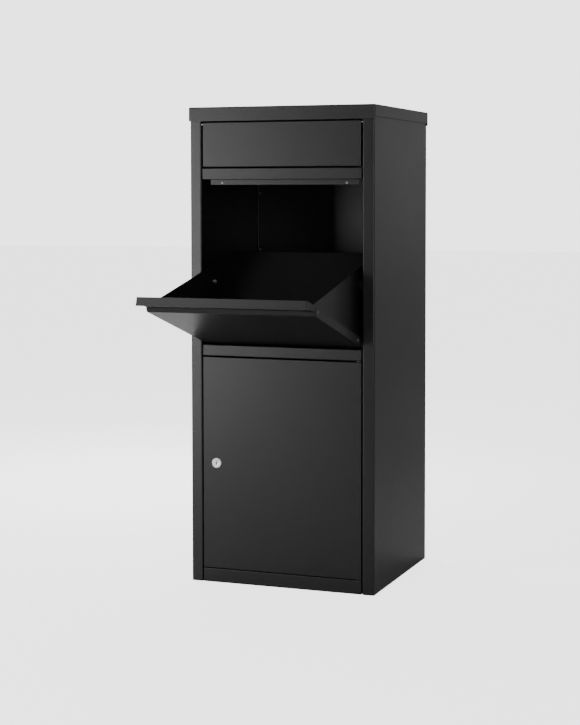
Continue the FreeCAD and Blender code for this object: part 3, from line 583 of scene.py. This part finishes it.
def rear_plate_sheet():
    """The plate behind a parcel, with a foot under the flap and a stiffening hem."""
    heel_y, heel_z = WING_HEEL
    tip_y, tip_z = WING_TIP
    along = Vector((0, tip_y - heel_y, tip_z - heel_z))
    down = Vector((0, along.z, -along.y)).normalized()
    half = REAR_PLATE_HALF_WIDTH
    piece = blank("hopper_rear_plate_sheet", (-half, REAR_PLATE_FOOT_Y, heel_z),
                  (half, heel_y, heel_z))
    flange(on(1, heel_y), along)
    flange(on(1, tip_y), down * REAR_PLATE_HEM)
    finish_sheet(piece, PANEL_SHEET, TRAY_BEND, (0, 0, -1))
    return swing_open(piece)


# ---- fasteners ---------------------------------------------------------------------------
def rivet_pattern():
    """One blind rivet, head upwards, with the top of its head at the origin."""
    bpy.ops.mesh.primitive_cylinder_add(vertices=RIVET_STEPS, radius=RIVET_HEAD,
                                        depth=RIVET_RISE, location=(0, 0, -RIVET_RISE / 2))
    piece = bpy.context.active_object
    piece.name = "rivet_pattern"
    settle(piece)
    start_edit(piece)
    choose("FACE", on(2, -RIVET_RISE))
    bpy.ops.mesh.inset(thickness=RIVET_HEAD - RIVET_SHANK)
    pull((0, 0, -RIVET_GRIP))
    pull((0, 0, 0))
    bpy.ops.transform.resize(value=(RIVET_TAIL / RIVET_SHANK,) * 2 + (1,))
    pull((0, 0, -RIVET_TAIL_LENGTH))
    choose("EDGE", on(2, 0))
    bpy.ops.mesh.bevel(offset=RIVET_ROUNDING * RIVET_RISE, segments=RIVET_ROUNDING_STEPS,
                       affect="EDGES")
    choose("FACE", on(2, 0))
    for inset, sink in RIVET_CROWN:
        bpy.ops.mesh.inset(thickness=inset)
        bpy.ops.transform.translate(value=(0, 0, sink))
    end_edit()
    smooth(piece)
    return piece


def set_rivets(pattern, node, prefix, outward_at):
    """A rivet on each solid of a node, its head looking outwards."""
    made = []
    for number, (low, high) in enumerate(solids_of(node), 1):
        middle = (low + high) / 2
        outward = outward_at(middle)
        crown = Vector(high[axis] if outward[axis] > 0 else low[axis] if outward[axis] < 0
                       else middle[axis] for axis in range(3))
        made.append(copy_to(pattern, f"{prefix}_{number:02d}", crown, outward))
    return made


# ---- lock --------------------------------------------------------------------------------
def turned(name, profile, centre):
    """A part turned about a front-to-back axis from its (radius, y) profile."""
    bpy.ops.mesh.primitive_plane_add(size=1)
    piece = bpy.context.active_object
    piece.name = name
    start_edit(piece)
    bpy.ops.mesh.select_all(action="SELECT")
    bpy.ops.mesh.delete(type="VERT")
    data = piece.data
    mesh = bmesh.from_edit_mesh(data)
    line = [mesh.verts.new((radius, y, 0)) for radius, y in profile]
    for here, there in zip(line, line[1:]):
        mesh.edges.new((here, there))
    bmesh.update_edit_mesh(data)
    bpy.ops.mesh.select_all(action="SELECT")
    bpy.ops.mesh.spin(steps=TURNING_STEPS, angle=2 * math.pi, center=(0, 0, 0), axis=(0, 1, 0))
    bpy.ops.mesh.select_all(action="SELECT")
    bpy.ops.mesh.remove_doubles(threshold=FLAT)
    bpy.ops.mesh.normals_make_consistent(inside=False)
    end_edit()
    piece.location = centre
    settle(piece)
    return piece


def cut_from(piece, low, high, turn=0.0):
    """Cuts a block out of a piece; the block may be turned about its front-to-back axis."""
    low, high = Vector(low), Vector(high)
    bpy.ops.mesh.primitive_cube_add(size=1, location=(low + high) / 2, rotation=(0, turn, 0))
    block = bpy.context.active_object
    block.scale = high - low
    settle(block)
    apply_modifier(piece, "BOOLEAN", operation="DIFFERENCE", object=block, solver="EXACT")
    bpy.data.objects.remove(block)


def lock_face_and_barrel():
    """The lock's rounded face ring on its threaded barrel, open for the plug."""
    low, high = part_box("lock_body")
    axis = (low + high) / 2
    outer = (high.x - low.x) / 2
    profile = [(LOCK_BORE, high.y), (LOCK_BORE, low.y + LOCK_BORE_EDGE),
               (LOCK_BORE + LOCK_BORE_EDGE, low.y)]
    for step in range(LOCK_RIM_STEPS + 1):
        angle = step / LOCK_RIM_STEPS * math.pi / 2
        profile.append((outer - LOCK_RIM * (1 - math.sin(angle)),
                        low.y + LOCK_RIM * (1 - math.cos(angle))))
    profile += [(outer, FRONT_Y - LOCK_BACK_EDGE), (outer - LOCK_BACK_EDGE, FRONT_Y),
                (LOCK_BARREL - LOCK_NECK, FRONT_Y)]
    root = LOCK_BARREL - LOCK_THREAD_DEPTH
    y = FRONT_Y + CABINET_SHEET
    while y < high.y - LOCK_THREAD:
        profile += [(root, y), (LOCK_BARREL, y + LOCK_THREAD / 2)]
        y += LOCK_THREAD
    profile += [(root, high.y), (LOCK_BORE, high.y)]
    piece = turned("lock_face_and_barrel", profile, (axis.x, 0, axis.z))
    notch = Vector((axis.x, 0, axis.z)) + outer * Vector((math.sin(NOTCH_AT), 0,
                                                          math.cos(NOTCH_AT)))
    cut_from(piece, (notch.x - NOTCH_HALF_WIDTH, low.y - CUTTER_CLEAR, notch.z - NOTCH_HALF_HEIGHT),
             (notch.x + NOTCH_HALF_WIDTH, FRONT_Y - NOTCH_FLOOR, notch.z + NOTCH_HALF_HEIGHT),
             NOTCH_AT)
    smooth(piece, CRISP_FROM_TURNED)
    return piece


def lock_plug_with_keyway():
    """The plug, slightly dished, with its upright keyway and a square end for the cam."""
    low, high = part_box("lock_plug")
    axis = (low + high) / 2
    cam_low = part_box("lock_cam")[0]
    outer = (high.x - low.x) / 2
    profile = [(share * outer, low.y + depth) for share, depth in PLUG_DISH]
    profile += [(outer - PLUG_EDGE, low.y), (outer, low.y + PLUG_EDGE),
                (outer, cam_low.y - PLUG_BACK_EDGE), (outer - PLUG_BACK_EDGE, cam_low.y),
                (0, cam_low.y)]
    piece = turned("lock_plug_with_keyway", profile, (axis.x, 0, axis.z))
    half = KEYWAY_WIDTH / 2
    below, above = KEYWAY_REACH
    face, floor = low.y - CUTTER_CLEAR, low.y + KEYWAY_DEPTH
    cut_from(piece, (axis.x - half, face, axis.z + below), (axis.x + half, floor, axis.z + above))
    ward_low, ward_high = WARD_Z
    cut_from(piece, (axis.x + half - WARD_OVERLAP, face, axis.z + ward_low),
             (axis.x + WARD_REACH * half, floor, axis.z + ward_high))
    bpy.ops.mesh.primitive_cube_add(size=1, location=(axis.x, (cam_low.y + high.y) / 2, axis.z))
    square = bpy.context.active_object
    square.scale = (CAM_SQUARE, high.y - cam_low.y, CAM_SQUARE)
    settle(square)
    apply_modifier(square, "BEVEL", width=CAM_SQUARE_EDGE, segments=CUT_EDGE_STEPS)
    pick(piece)
    square.select_set(True)
    bpy.ops.object.join()
    smooth(piece, CRISP_FROM_TURNED)
    return piece


# ---- node tools -------------------------------------------------------------------------
def add(tree, kind, settings=None, inputs=None):
    """Adds a node with its settings, and with a value or another node's output per input."""
    node = tree.nodes.new("ShaderNode" + kind)
    for setting, value in (settings or {}).items():
        setattr(node, setting, value)
    for label, value in (inputs or {}).items():
        if isinstance(value, bpy.types.NodeSocket):
            tree.links.new(value, node.inputs[label])
        else:
            node.inputs[label].default_value = value
    return node


def ramp(tree, value, from_low, to_low, from_high, to_high):
    """A value carried smoothly from one range to another, and held at its ends."""
    node = add(tree, "MapRange", {"interpolation_type": "SMOOTHSTEP"},
               {"Value": value, "From Min": from_low, "From Max": from_high,
                "To Min": to_low, "To Max": to_high})
    return node.outputs[0]


def fade(tree, value, start, end):
    """A value turned into a mask: 0 up to the start and 1 from the end onwards."""
    return ramp(tree, value, start, 0.0, end, 1.0)


def times(tree, first, second, clamp=False):
    """The product of two values."""
    node = add(tree, "Math", {"operation": "MULTIPLY", "use_clamp": clamp}, {0: first, 1: second})
    return node.outputs[0]


MIX_VALUES = (2, 3, 0)           # where a Mix node keeps A, B and the result for values,
MIX_COLOURS = (6, 7, 2)          # and where for colours


def blend_colour(tree, mask, first, second):
    """One colour where a mask is dark and another where it is light."""
    opaque = [colour if isinstance(colour, bpy.types.NodeSocket) else (*colour, 1)
              for colour in (first, second)]
    at_first, at_second, at_result = MIX_COLOURS
    return add(tree, "Mix", {"data_type": "RGBA"},
               {0: mask, at_first: opaque[0], at_second: opaque[1]}).outputs[at_result]


def blend_value(tree, mask, first, second):
    """One value where a mask is dark and another where it is light."""
    at_first, at_second, at_result = MIX_VALUES
    return add(tree, "Mix", {"data_type": "FLOAT"},
               {0: mask, at_first: first, at_second: second}).outputs[at_result]


def effect(name, inputs, outputs):
    """An empty shader group with named numbers going in and named values coming out."""
    tree = bpy.data.node_groups.new(name, "ShaderNodeTree")
    for label, value in inputs.items():
        socket = tree.interface.new_socket(name=label, in_out="INPUT",
                                           socket_type="NodeSocketFloat")
        socket.default_value = value
    for label in outputs:
        tree.interface.new_socket(name=label, in_out="OUTPUT", socket_type="NodeSocketFloat")
    return tree, tree.nodes.new("NodeGroupInput").outputs, tree.nodes.new("NodeGroupOutput").inputs


def noise(tree, scale, detail=2.0, stretch=(1, 1, 1)):
    """Noise over the object's own coordinates, in metres, drawn out along an axis or not."""
    where = add(tree, "Mapping", {}, {0: add(tree, "TexCoord").outputs["Object"],
                                      "Scale": stretch})
    cloud = add(tree, "TexNoise", {}, {"Vector": where.outputs[0], "Scale": scale,
                                       "Detail": detail})
    return cloud.outputs["Fac"]


# ---- studio ------------------------------------------------------------------------------
def studio():
    """A pale floor and surround, seven soft lamps, the strongest in front, and the camera."""
    bpy.ops.mesh.primitive_plane_add(size=FLOOR_SIZE, location=(0, 0, 0))
    floor = bpy.context.active_object
    floor.name = "studio_floor"
    paper = bpy.data.materials.new("pale_floor")
    paper.use_nodes = True
    tree = paper.node_tree
    shader = tree.nodes["Principled BSDF"]
    shader.inputs["Base Color"].default_value = (FLOOR_GREY, FLOOR_GREY, FLOOR_GREY, 1)
    shader.inputs["Roughness"].default_value = FLOOR_ROUGHNESS
    shader.inputs["Emission Color"].default_value = (1, 1, 1, 1)
    path = add(tree, "LightPath")
    glow = times(tree, path.outputs["Is Camera Ray"], FLOOR_GLOW)
    tree.links.new(glow, shader.inputs["Emission Strength"])
    floor.data.materials.append(paper)

    world = bpy.data.worlds.new("pale_surround")
    bpy.context.scene.world = world
    world.use_nodes = True
    tree = world.node_tree
    seen = tree.nodes["Background"]
    seen.inputs["Strength"].default_value = SEEN_WHITE
    seen.inputs["Color"].default_value = (1, 1, 1, 1)
    towards = add(tree, "SeparateXYZ", {}, {0: add(tree, "TexCoord").outputs["Generated"]})
    overhead = ramp(tree, towards.outputs["Z"], CEILING_STARTS, 1.0, CEILING_FULL, CEILING_DIMS_TO)
    sideways = ramp(tree, towards.outputs["X"], -1.0, LEFT_WALL, 1.0, RIGHT_WALL)
    behind = ramp(tree, towards.outputs["Y"], -1.0, FRONT_WALL, 1.0, 1.0)
    walls = times(tree, times(tree, overhead, sideways), behind)
    lit = add(tree, "Background", {}, {"Strength": walls})
    path = add(tree, "LightPath")
    mix = add(tree, "MixShader", {}, {0: path.outputs["Is Camera Ray"], 1: lit.outputs[0],
                                      2: seen.outputs[0]})
    tree.links.new(mix.outputs[0], tree.nodes["World Output"].inputs["Surface"])

    for name, place, aim, width, height, power in LAMPS:
        lamp = bpy.data.lights.new(name, "AREA")
        lamp.shape = "RECTANGLE"
        lamp.size, lamp.size_y = width, height
        lamp.energy = power
        holder = bpy.data.objects.new(name, lamp)
        bpy.context.scene.collection.objects.link(holder)
        holder.location = place
        holder.rotation_euler = (Vector(aim) - Vector(place)).to_track_quat("-Z", "Y").to_euler()
        holder.visible_camera = False

    lens = bpy.data.cameras.new("camera")
    lens.lens = CAMERA_LENS
    lens.shift_x, lens.shift_y = CAMERA_SHIFT
    camera = bpy.data.objects.new("camera", lens)
    camera.location = CAMERA_PLACE
    camera.rotation_euler = [math.radians(angle) for angle in CAMERA_TURN]
    bpy.context.scene.collection.objects.link(camera)
    bpy.context.scene.camera = camera


# ---- coats and metals --------------------------------------------------------------------
def orange_peel():
    """The pebbled skin of a baked powder coat: soft waves with a fine grain on them."""
    tree, given, result = effect("orange_peel", {"Waves": 700.0, "Grain": 2600.0,
                                                 "Grain Share": 0.35}, ["Height"])
    waves = noise(tree, given["Waves"], detail=1.0)
    grain = noise(tree, given["Grain"], detail=3.0)
    tree.links.new(blend_value(tree, given["Grain Share"], waves, grain), result["Height"])
    return tree


def patches():
    """Broad soft patches with finer ones inside them, where handling has changed the sheen."""
    tree, given, result = effect("patches", {"Broad": 5.0, "Fine": 60.0, "Contrast": 1.0},
                                 ["Mask"])
    broad = fade(tree, noise(tree, given["Broad"], detail=3.0), start=0.3, end=0.7)
    fine = fade(tree, noise(tree, given["Fine"], detail=4.0), start=0.25, end=0.75)
    share_of_fine, middle = 0.35, 0.5
    mixed = blend_value(tree, share_of_fine, broad, fine)
    centred = add(tree, "Math", {"operation": "SUBTRACT"}, {0: mixed, 1: middle})
    scaled = add(tree, "Math", {"operation": "MULTIPLY_ADD", "use_clamp": True},
                 {0: centred.outputs[0], 1: given["Contrast"], 2: middle})
    tree.links.new(scaled.outputs[0], result["Mask"])
    return tree


def edge_highlight_and_wear():
    """Painted highlight and wear along outside edges and bends, broken up along its length."""
    tree, given, result = effect("edge_highlight_and_wear", {"Width": 0.0012, "Break Up": 90.0,
                                                  "Amount": 1.0}, ["Mask"])
    rounded = add(tree, "Bevel", {"samples": 4}, {"Radius": given["Width"]})
    plain = add(tree, "NewGeometry")
    turn = add(tree, "VectorMath", {"operation": "DOT_PRODUCT"},
               {0: rounded.outputs[0], 1: plain.outputs["Normal"]})
    full_turn, no_turn = 0.80, 0.995  # how far the rounded normal agrees with the plain one
    edge = ramp(tree, turn.outputs["Value"], full_turn, 1.0, no_turn, 0.0)
    gaps = fade(tree, noise(tree, given["Break Up"], detail=4.0), start=0.38, end=0.68)
    mask = times(tree, times(tree, edge, gaps), given["Amount"], clamp=True)
    tree.links.new(mask, result["Mask"])
    return tree


def settled_dust():
    """A thin film of dust on faces that look upwards."""
    tree, given, result = effect("settled_dust", {"Specks": 400.0, "Amount": 0.3}, ["Mask"])
    plain = add(tree, "NewGeometry")
    facing = add(tree, "SeparateXYZ", {}, {0: plain.outputs["Normal"]})
    upward = fade(tree, facing.outputs["Z"], start=0.55, end=0.98)
    specks = fade(tree, noise(tree, given["Specks"], detail=5.0), start=0.42, end=0.72)
    tree.links.new(times(tree, times(tree, upward, specks), given["Amount"]), result["Mask"])
    return tree


def fine_scratches():
    """Hairlines left by polishing and by keys and fingers."""
    tree, given, result = effect("fine_scratches", {"Spacing": 1500.0, "Amount": 1.0}, ["Mask"])
    drawn_upright = noise(tree, given["Spacing"], stretch=(1, 0.2, 0.06))
    drawn_level = noise(tree, given["Spacing"], stretch=(0.08, 0.2, 1))
    upright = fade(tree, drawn_upright, start=0.56, end=0.7)
    level = fade(tree, drawn_level, start=0.6, end=0.72)
    most = add(tree, "Math", {"operation": "MAXIMUM"}, {0: upright, 1: level})
    mask = times(tree, most.outputs[0], given["Amount"], clamp=True)
    tree.links.new(mask, result["Mask"])
    return tree


def new_finish(name):
    """A new material: its node tree and its shader."""
    material = bpy.data.materials.new(name)
    material.use_nodes = True
    return material, material.node_tree, material.node_tree.nodes["Principled BSDF"]


def use(tree, group, **values):
    """Places an effect in a material with its own values, and gives its one output."""
    node = add(tree, "Group", {"node_tree": group},
               {label.replace("_", " "): value for label, value in values.items()})
    return node.outputs[0]


def raise_skin(tree, shader, height, depth):
    """Feeds a height, in shares of a depth in metres, into the shader's normal."""
    skin = add(tree, "Bump", {}, {"Strength": 1.0, "Distance": depth, "Height": height})
    tree.links.new(skin.outputs[0], shader.inputs["Normal"])


def satin_black_coat():
    """Baked black powder coat on sheet steel."""
    material, tree, shader = new_finish("satin_black_coat")
    cloud = use(tree, PATCHES, Broad=4.0, Fine=45.0, Contrast=0.8)
    # edges and bends of the coat: a painted highlight, with some worn coat
    edge_highlight_and_wear_mask = use(tree, EDGE_HIGHLIGHT_AND_WEAR, Width=0.0012, Break_Up=70.0, Amount=0.55)
    dust = use(tree, SETTLED_DUST, Specks=300.0, Amount=0.10)
    colour = blend_colour(tree, cloud, *COAT)
    # paints the edge highlight, and the wear, in a lighter colour
    colour = blend_colour(tree, edge_highlight_and_wear_mask, colour, COAT_EDGE_HIGHLIGHT_AND_WEAR)
    colour = blend_colour(tree, dust, colour, DUST)
    tree.links.new(colour, shader.inputs["Base Color"])
    sheen = blend_value(tree, cloud, COAT_ROUGHNESS - COAT_UNEVEN,
                        COAT_ROUGHNESS + COAT_UNEVEN)
    sheen = blend_value(tree, edge_highlight_and_wear_mask, sheen, COAT_ROUGHNESS - COAT_POLISHED)
    tree.links.new(blend_value(tree, dust, sheen, DUST_ROUGHNESS), shader.inputs["Roughness"])
    peel = use(tree, ORANGE_PEEL, Waves=650.0, Grain=2400.0, Grain_Share=0.3)
    raise_skin(tree, shader, peel, depth=0.00006)
    return material


def zinc_plate():
    """Passivated zinc plating: cloudy, faintly uneven in colour, with paler hairlines."""
    material, tree, shader = new_finish("zinc_plate")
    shader.inputs["Metallic"].default_value = 1.0
    cloud = use(tree, PATCHES, Broad=70.0, Fine=420.0, Contrast=1.3)
    scratched = use(tree, FINE_SCRATCHES, Spacing=1100.0, Amount=0.5)
    colour = blend_colour(tree, cloud, *ZINC)
    tree.links.new(blend_colour(tree, scratched, colour, ZINC_SCRATCHED),
                   shader.inputs["Base Color"])
    tree.links.new(blend_value(tree, cloud, *ZINC_ROUGHNESS), shader.inputs["Roughness"])
    raise_skin(tree, shader, use(tree, ORANGE_PEEL, Waves=1500.0, Grain=5200.0,
                                 Grain_Share=0.5), depth=0.00001)
    return material


def plated_lock_face():
    """Bright plating on the die-cast lock, slightly cloudy, with hairlines."""
    material, tree, shader = new_finish("plated_lock_face")
    shader.inputs["Metallic"].default_value = 1.0
    cloud = use(tree, PATCHES, Broad=120.0, Fine=600.0, Contrast=1.0)
    scratched = use(tree, FINE_SCRATCHES, Spacing=1600.0, Amount=0.8)
    tree.links.new(blend_colour(tree, cloud, *LOCK_PLATING), shader.inputs["Base Color"])
    satin = blend_value(tree, cloud, *LOCK_ROUGHNESS)
    tree.links.new(blend_value(tree, scratched, satin, LOCK_SCRATCH_ROUGHNESS),
                   shader.inputs["Roughness"])
    raise_skin(tree, shader, scratched, depth=0.000004)
    return material


def matt_rubber():
    """Moulded black rubber, uneven in tone and paler along its edges."""
    material, tree, shader = new_finish("matt_rubber")
    cloud = use(tree, PATCHES, Broad=60.0, Fine=500.0, Contrast=1.2)
    edge_highlight_and_wear_mask = use(tree, EDGE_HIGHLIGHT_AND_WEAR, Width=0.0009, Break_Up=240.0, Amount=0.6)
    colour = blend_colour(tree, cloud, *RUBBER)
    tree.links.new(blend_colour(tree, edge_highlight_and_wear_mask, colour, RUBBER_RUBBED),
                   shader.inputs["Base Color"])
    tree.links.new(blend_value(tree, cloud, *RUBBER_ROUGHNESS), shader.inputs["Roughness"])
    raise_skin(tree, shader, use(tree, ORANGE_PEEL, Waves=1200.0, Grain=3600.0,
                                 Grain_Share=0.6), depth=0.00005)
    return material


def moulded_nylon():
    """Moulded black nylon: waxy, with faint patches."""
    material, tree, shader = new_finish("moulded_nylon")
    cloud = use(tree, PATCHES, Broad=90.0, Fine=380.0, Contrast=1.0)
    tree.links.new(blend_colour(tree, cloud, *NYLON), shader.inputs["Base Color"])
    tree.links.new(blend_value(tree, cloud, *NYLON_ROUGHNESS), shader.inputs["Roughness"])
    raise_skin(tree, shader, use(tree, ORANGE_PEEL, Waves=900.0, Grain=3000.0,
                                 Grain_Share=0.4), depth=0.00002)
    return material


def dull_aluminium():
    """Drawn aluminium, oxidised to a soft grey and brighter along its worn edges."""
    material, tree, shader = new_finish("dull_aluminium")
    shader.inputs["Metallic"].default_value = 1.0
    cloud = use(tree, PATCHES, Broad=150.0, Fine=700.0, Contrast=1.2)
    edge_highlight_and_wear_mask = use(tree, EDGE_HIGHLIGHT_AND_WEAR, Width=0.0005, Break_Up=500.0, Amount=0.8)
    colour = blend_colour(tree, cloud, *ALUMINIUM)
    tree.links.new(blend_colour(tree, edge_highlight_and_wear_mask, colour, ALUMINIUM_RUBBED),
                   shader.inputs["Base Color"])
    tree.links.new(blend_value(tree, cloud, *ALUMINIUM_ROUGHNESS), shader.inputs["Roughness"])
    raise_skin(tree, shader, use(tree, ORANGE_PEEL, Waves=2200.0, Grain=6000.0,
                                 Grain_Share=0.5), depth=0.00001)
    return material


ORANGE_PEEL = orange_peel()
PATCHES = patches()
EDGE_HIGHLIGHT_AND_WEAR = edge_highlight_and_wear()
SETTLED_DUST = settled_dust()
FINE_SCRATCHES = fine_scratches()
FINISHES = {
    "black_powder_coat": satin_black_coat(),
    "zinc_plated_steel": zinc_plate(),
    "bright_chrome": plated_lock_face(),
    "black_rubber": matt_rubber(),
    "black_nylon": moulded_nylon(),
    "rivet_aluminium": dull_aluminium(),
}


def place(piece, body, slot, *nodes):
    """Finishes a piece, hangs it on its body and lets it stand for its nodes."""
    piece.data.materials.clear()
    piece.data.materials.append(FINISHES[slot])
    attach(piece, body)
    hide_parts(*nodes)


# ---- assembly ----------------------------------------------------------------------------
COATED = "black_powder_coat"
place(lid_cap(), "cabinet", COATED, "lid")
right_side = side_sheet()
left_side = mirror_copy(right_side, "left_side_sheet")
place(right_side, "cabinet", COATED, "right_side_panel")
place(left_side, "cabinet", COATED, "left_side_panel")
for rail in ("bottom_rail", "mid_rail", "upper_rail"):
    place(tray(rail + "_channel", rail, CABINET_SHEET), "cabinet", COATED, rail)
place(stop_strip_sheet(), "cabinet", COATED, "stop_strip")
place(letter_flap_shell(), "letter_flap", COATED, "letter_flap")
place(tray("door_shell", "door_panel", CABINET_SHEET), "door", COATED, "door_panel")
place(flap_shell(), "hopper", COATED, "hopper_flap")
place(handle_strip(), "hopper", COATED, "hopper_handle")
right_wing = wing_plate()
left_wing = mirror_copy(right_wing, "hopper_left_wing_plate")
place(right_wing, "hopper", COATED, "hopper_right_wing")
place(left_wing, "hopper", COATED, "hopper_left_wing")
place(rear_plate_sheet(), "hopper", COATED, "hopper_rear_plate")

rivet = rivet_pattern()
RIVETED = (("back_panel_rivets", "back_rivet", "cabinet", lambda middle: (0, 1, 0)),
           ("stop_strip_rivets", "stop_strip_rivet", "cabinet", lambda middle: (0, -1, 0)),
           ("hopper_rivets", "hopper_rivet", "hopper",
            lambda middle: (1 if middle.x > 0 else -1, 0, 0)))
for node, prefix, body, outward_at in RIVETED:
    for head in set_rivets(rivet, node, prefix, outward_at):
        place(head, body, "rivet_aluminium", node)
bpy.data.objects.remove(rivet)

place(lock_face_and_barrel(), "door", "bright_chrome", "lock_body")
place(lock_plug_with_keyway(), "lock", "bright_chrome", "lock_plug")

node_slots = {row["node"]: row["material_slot"] for row in frame["record"]["subparts"]}
for node, part in frame["nodes"].items():
    part.data.materials.clear()
    part.data.materials.append(FINISHES[node_slots[node]])

studio()
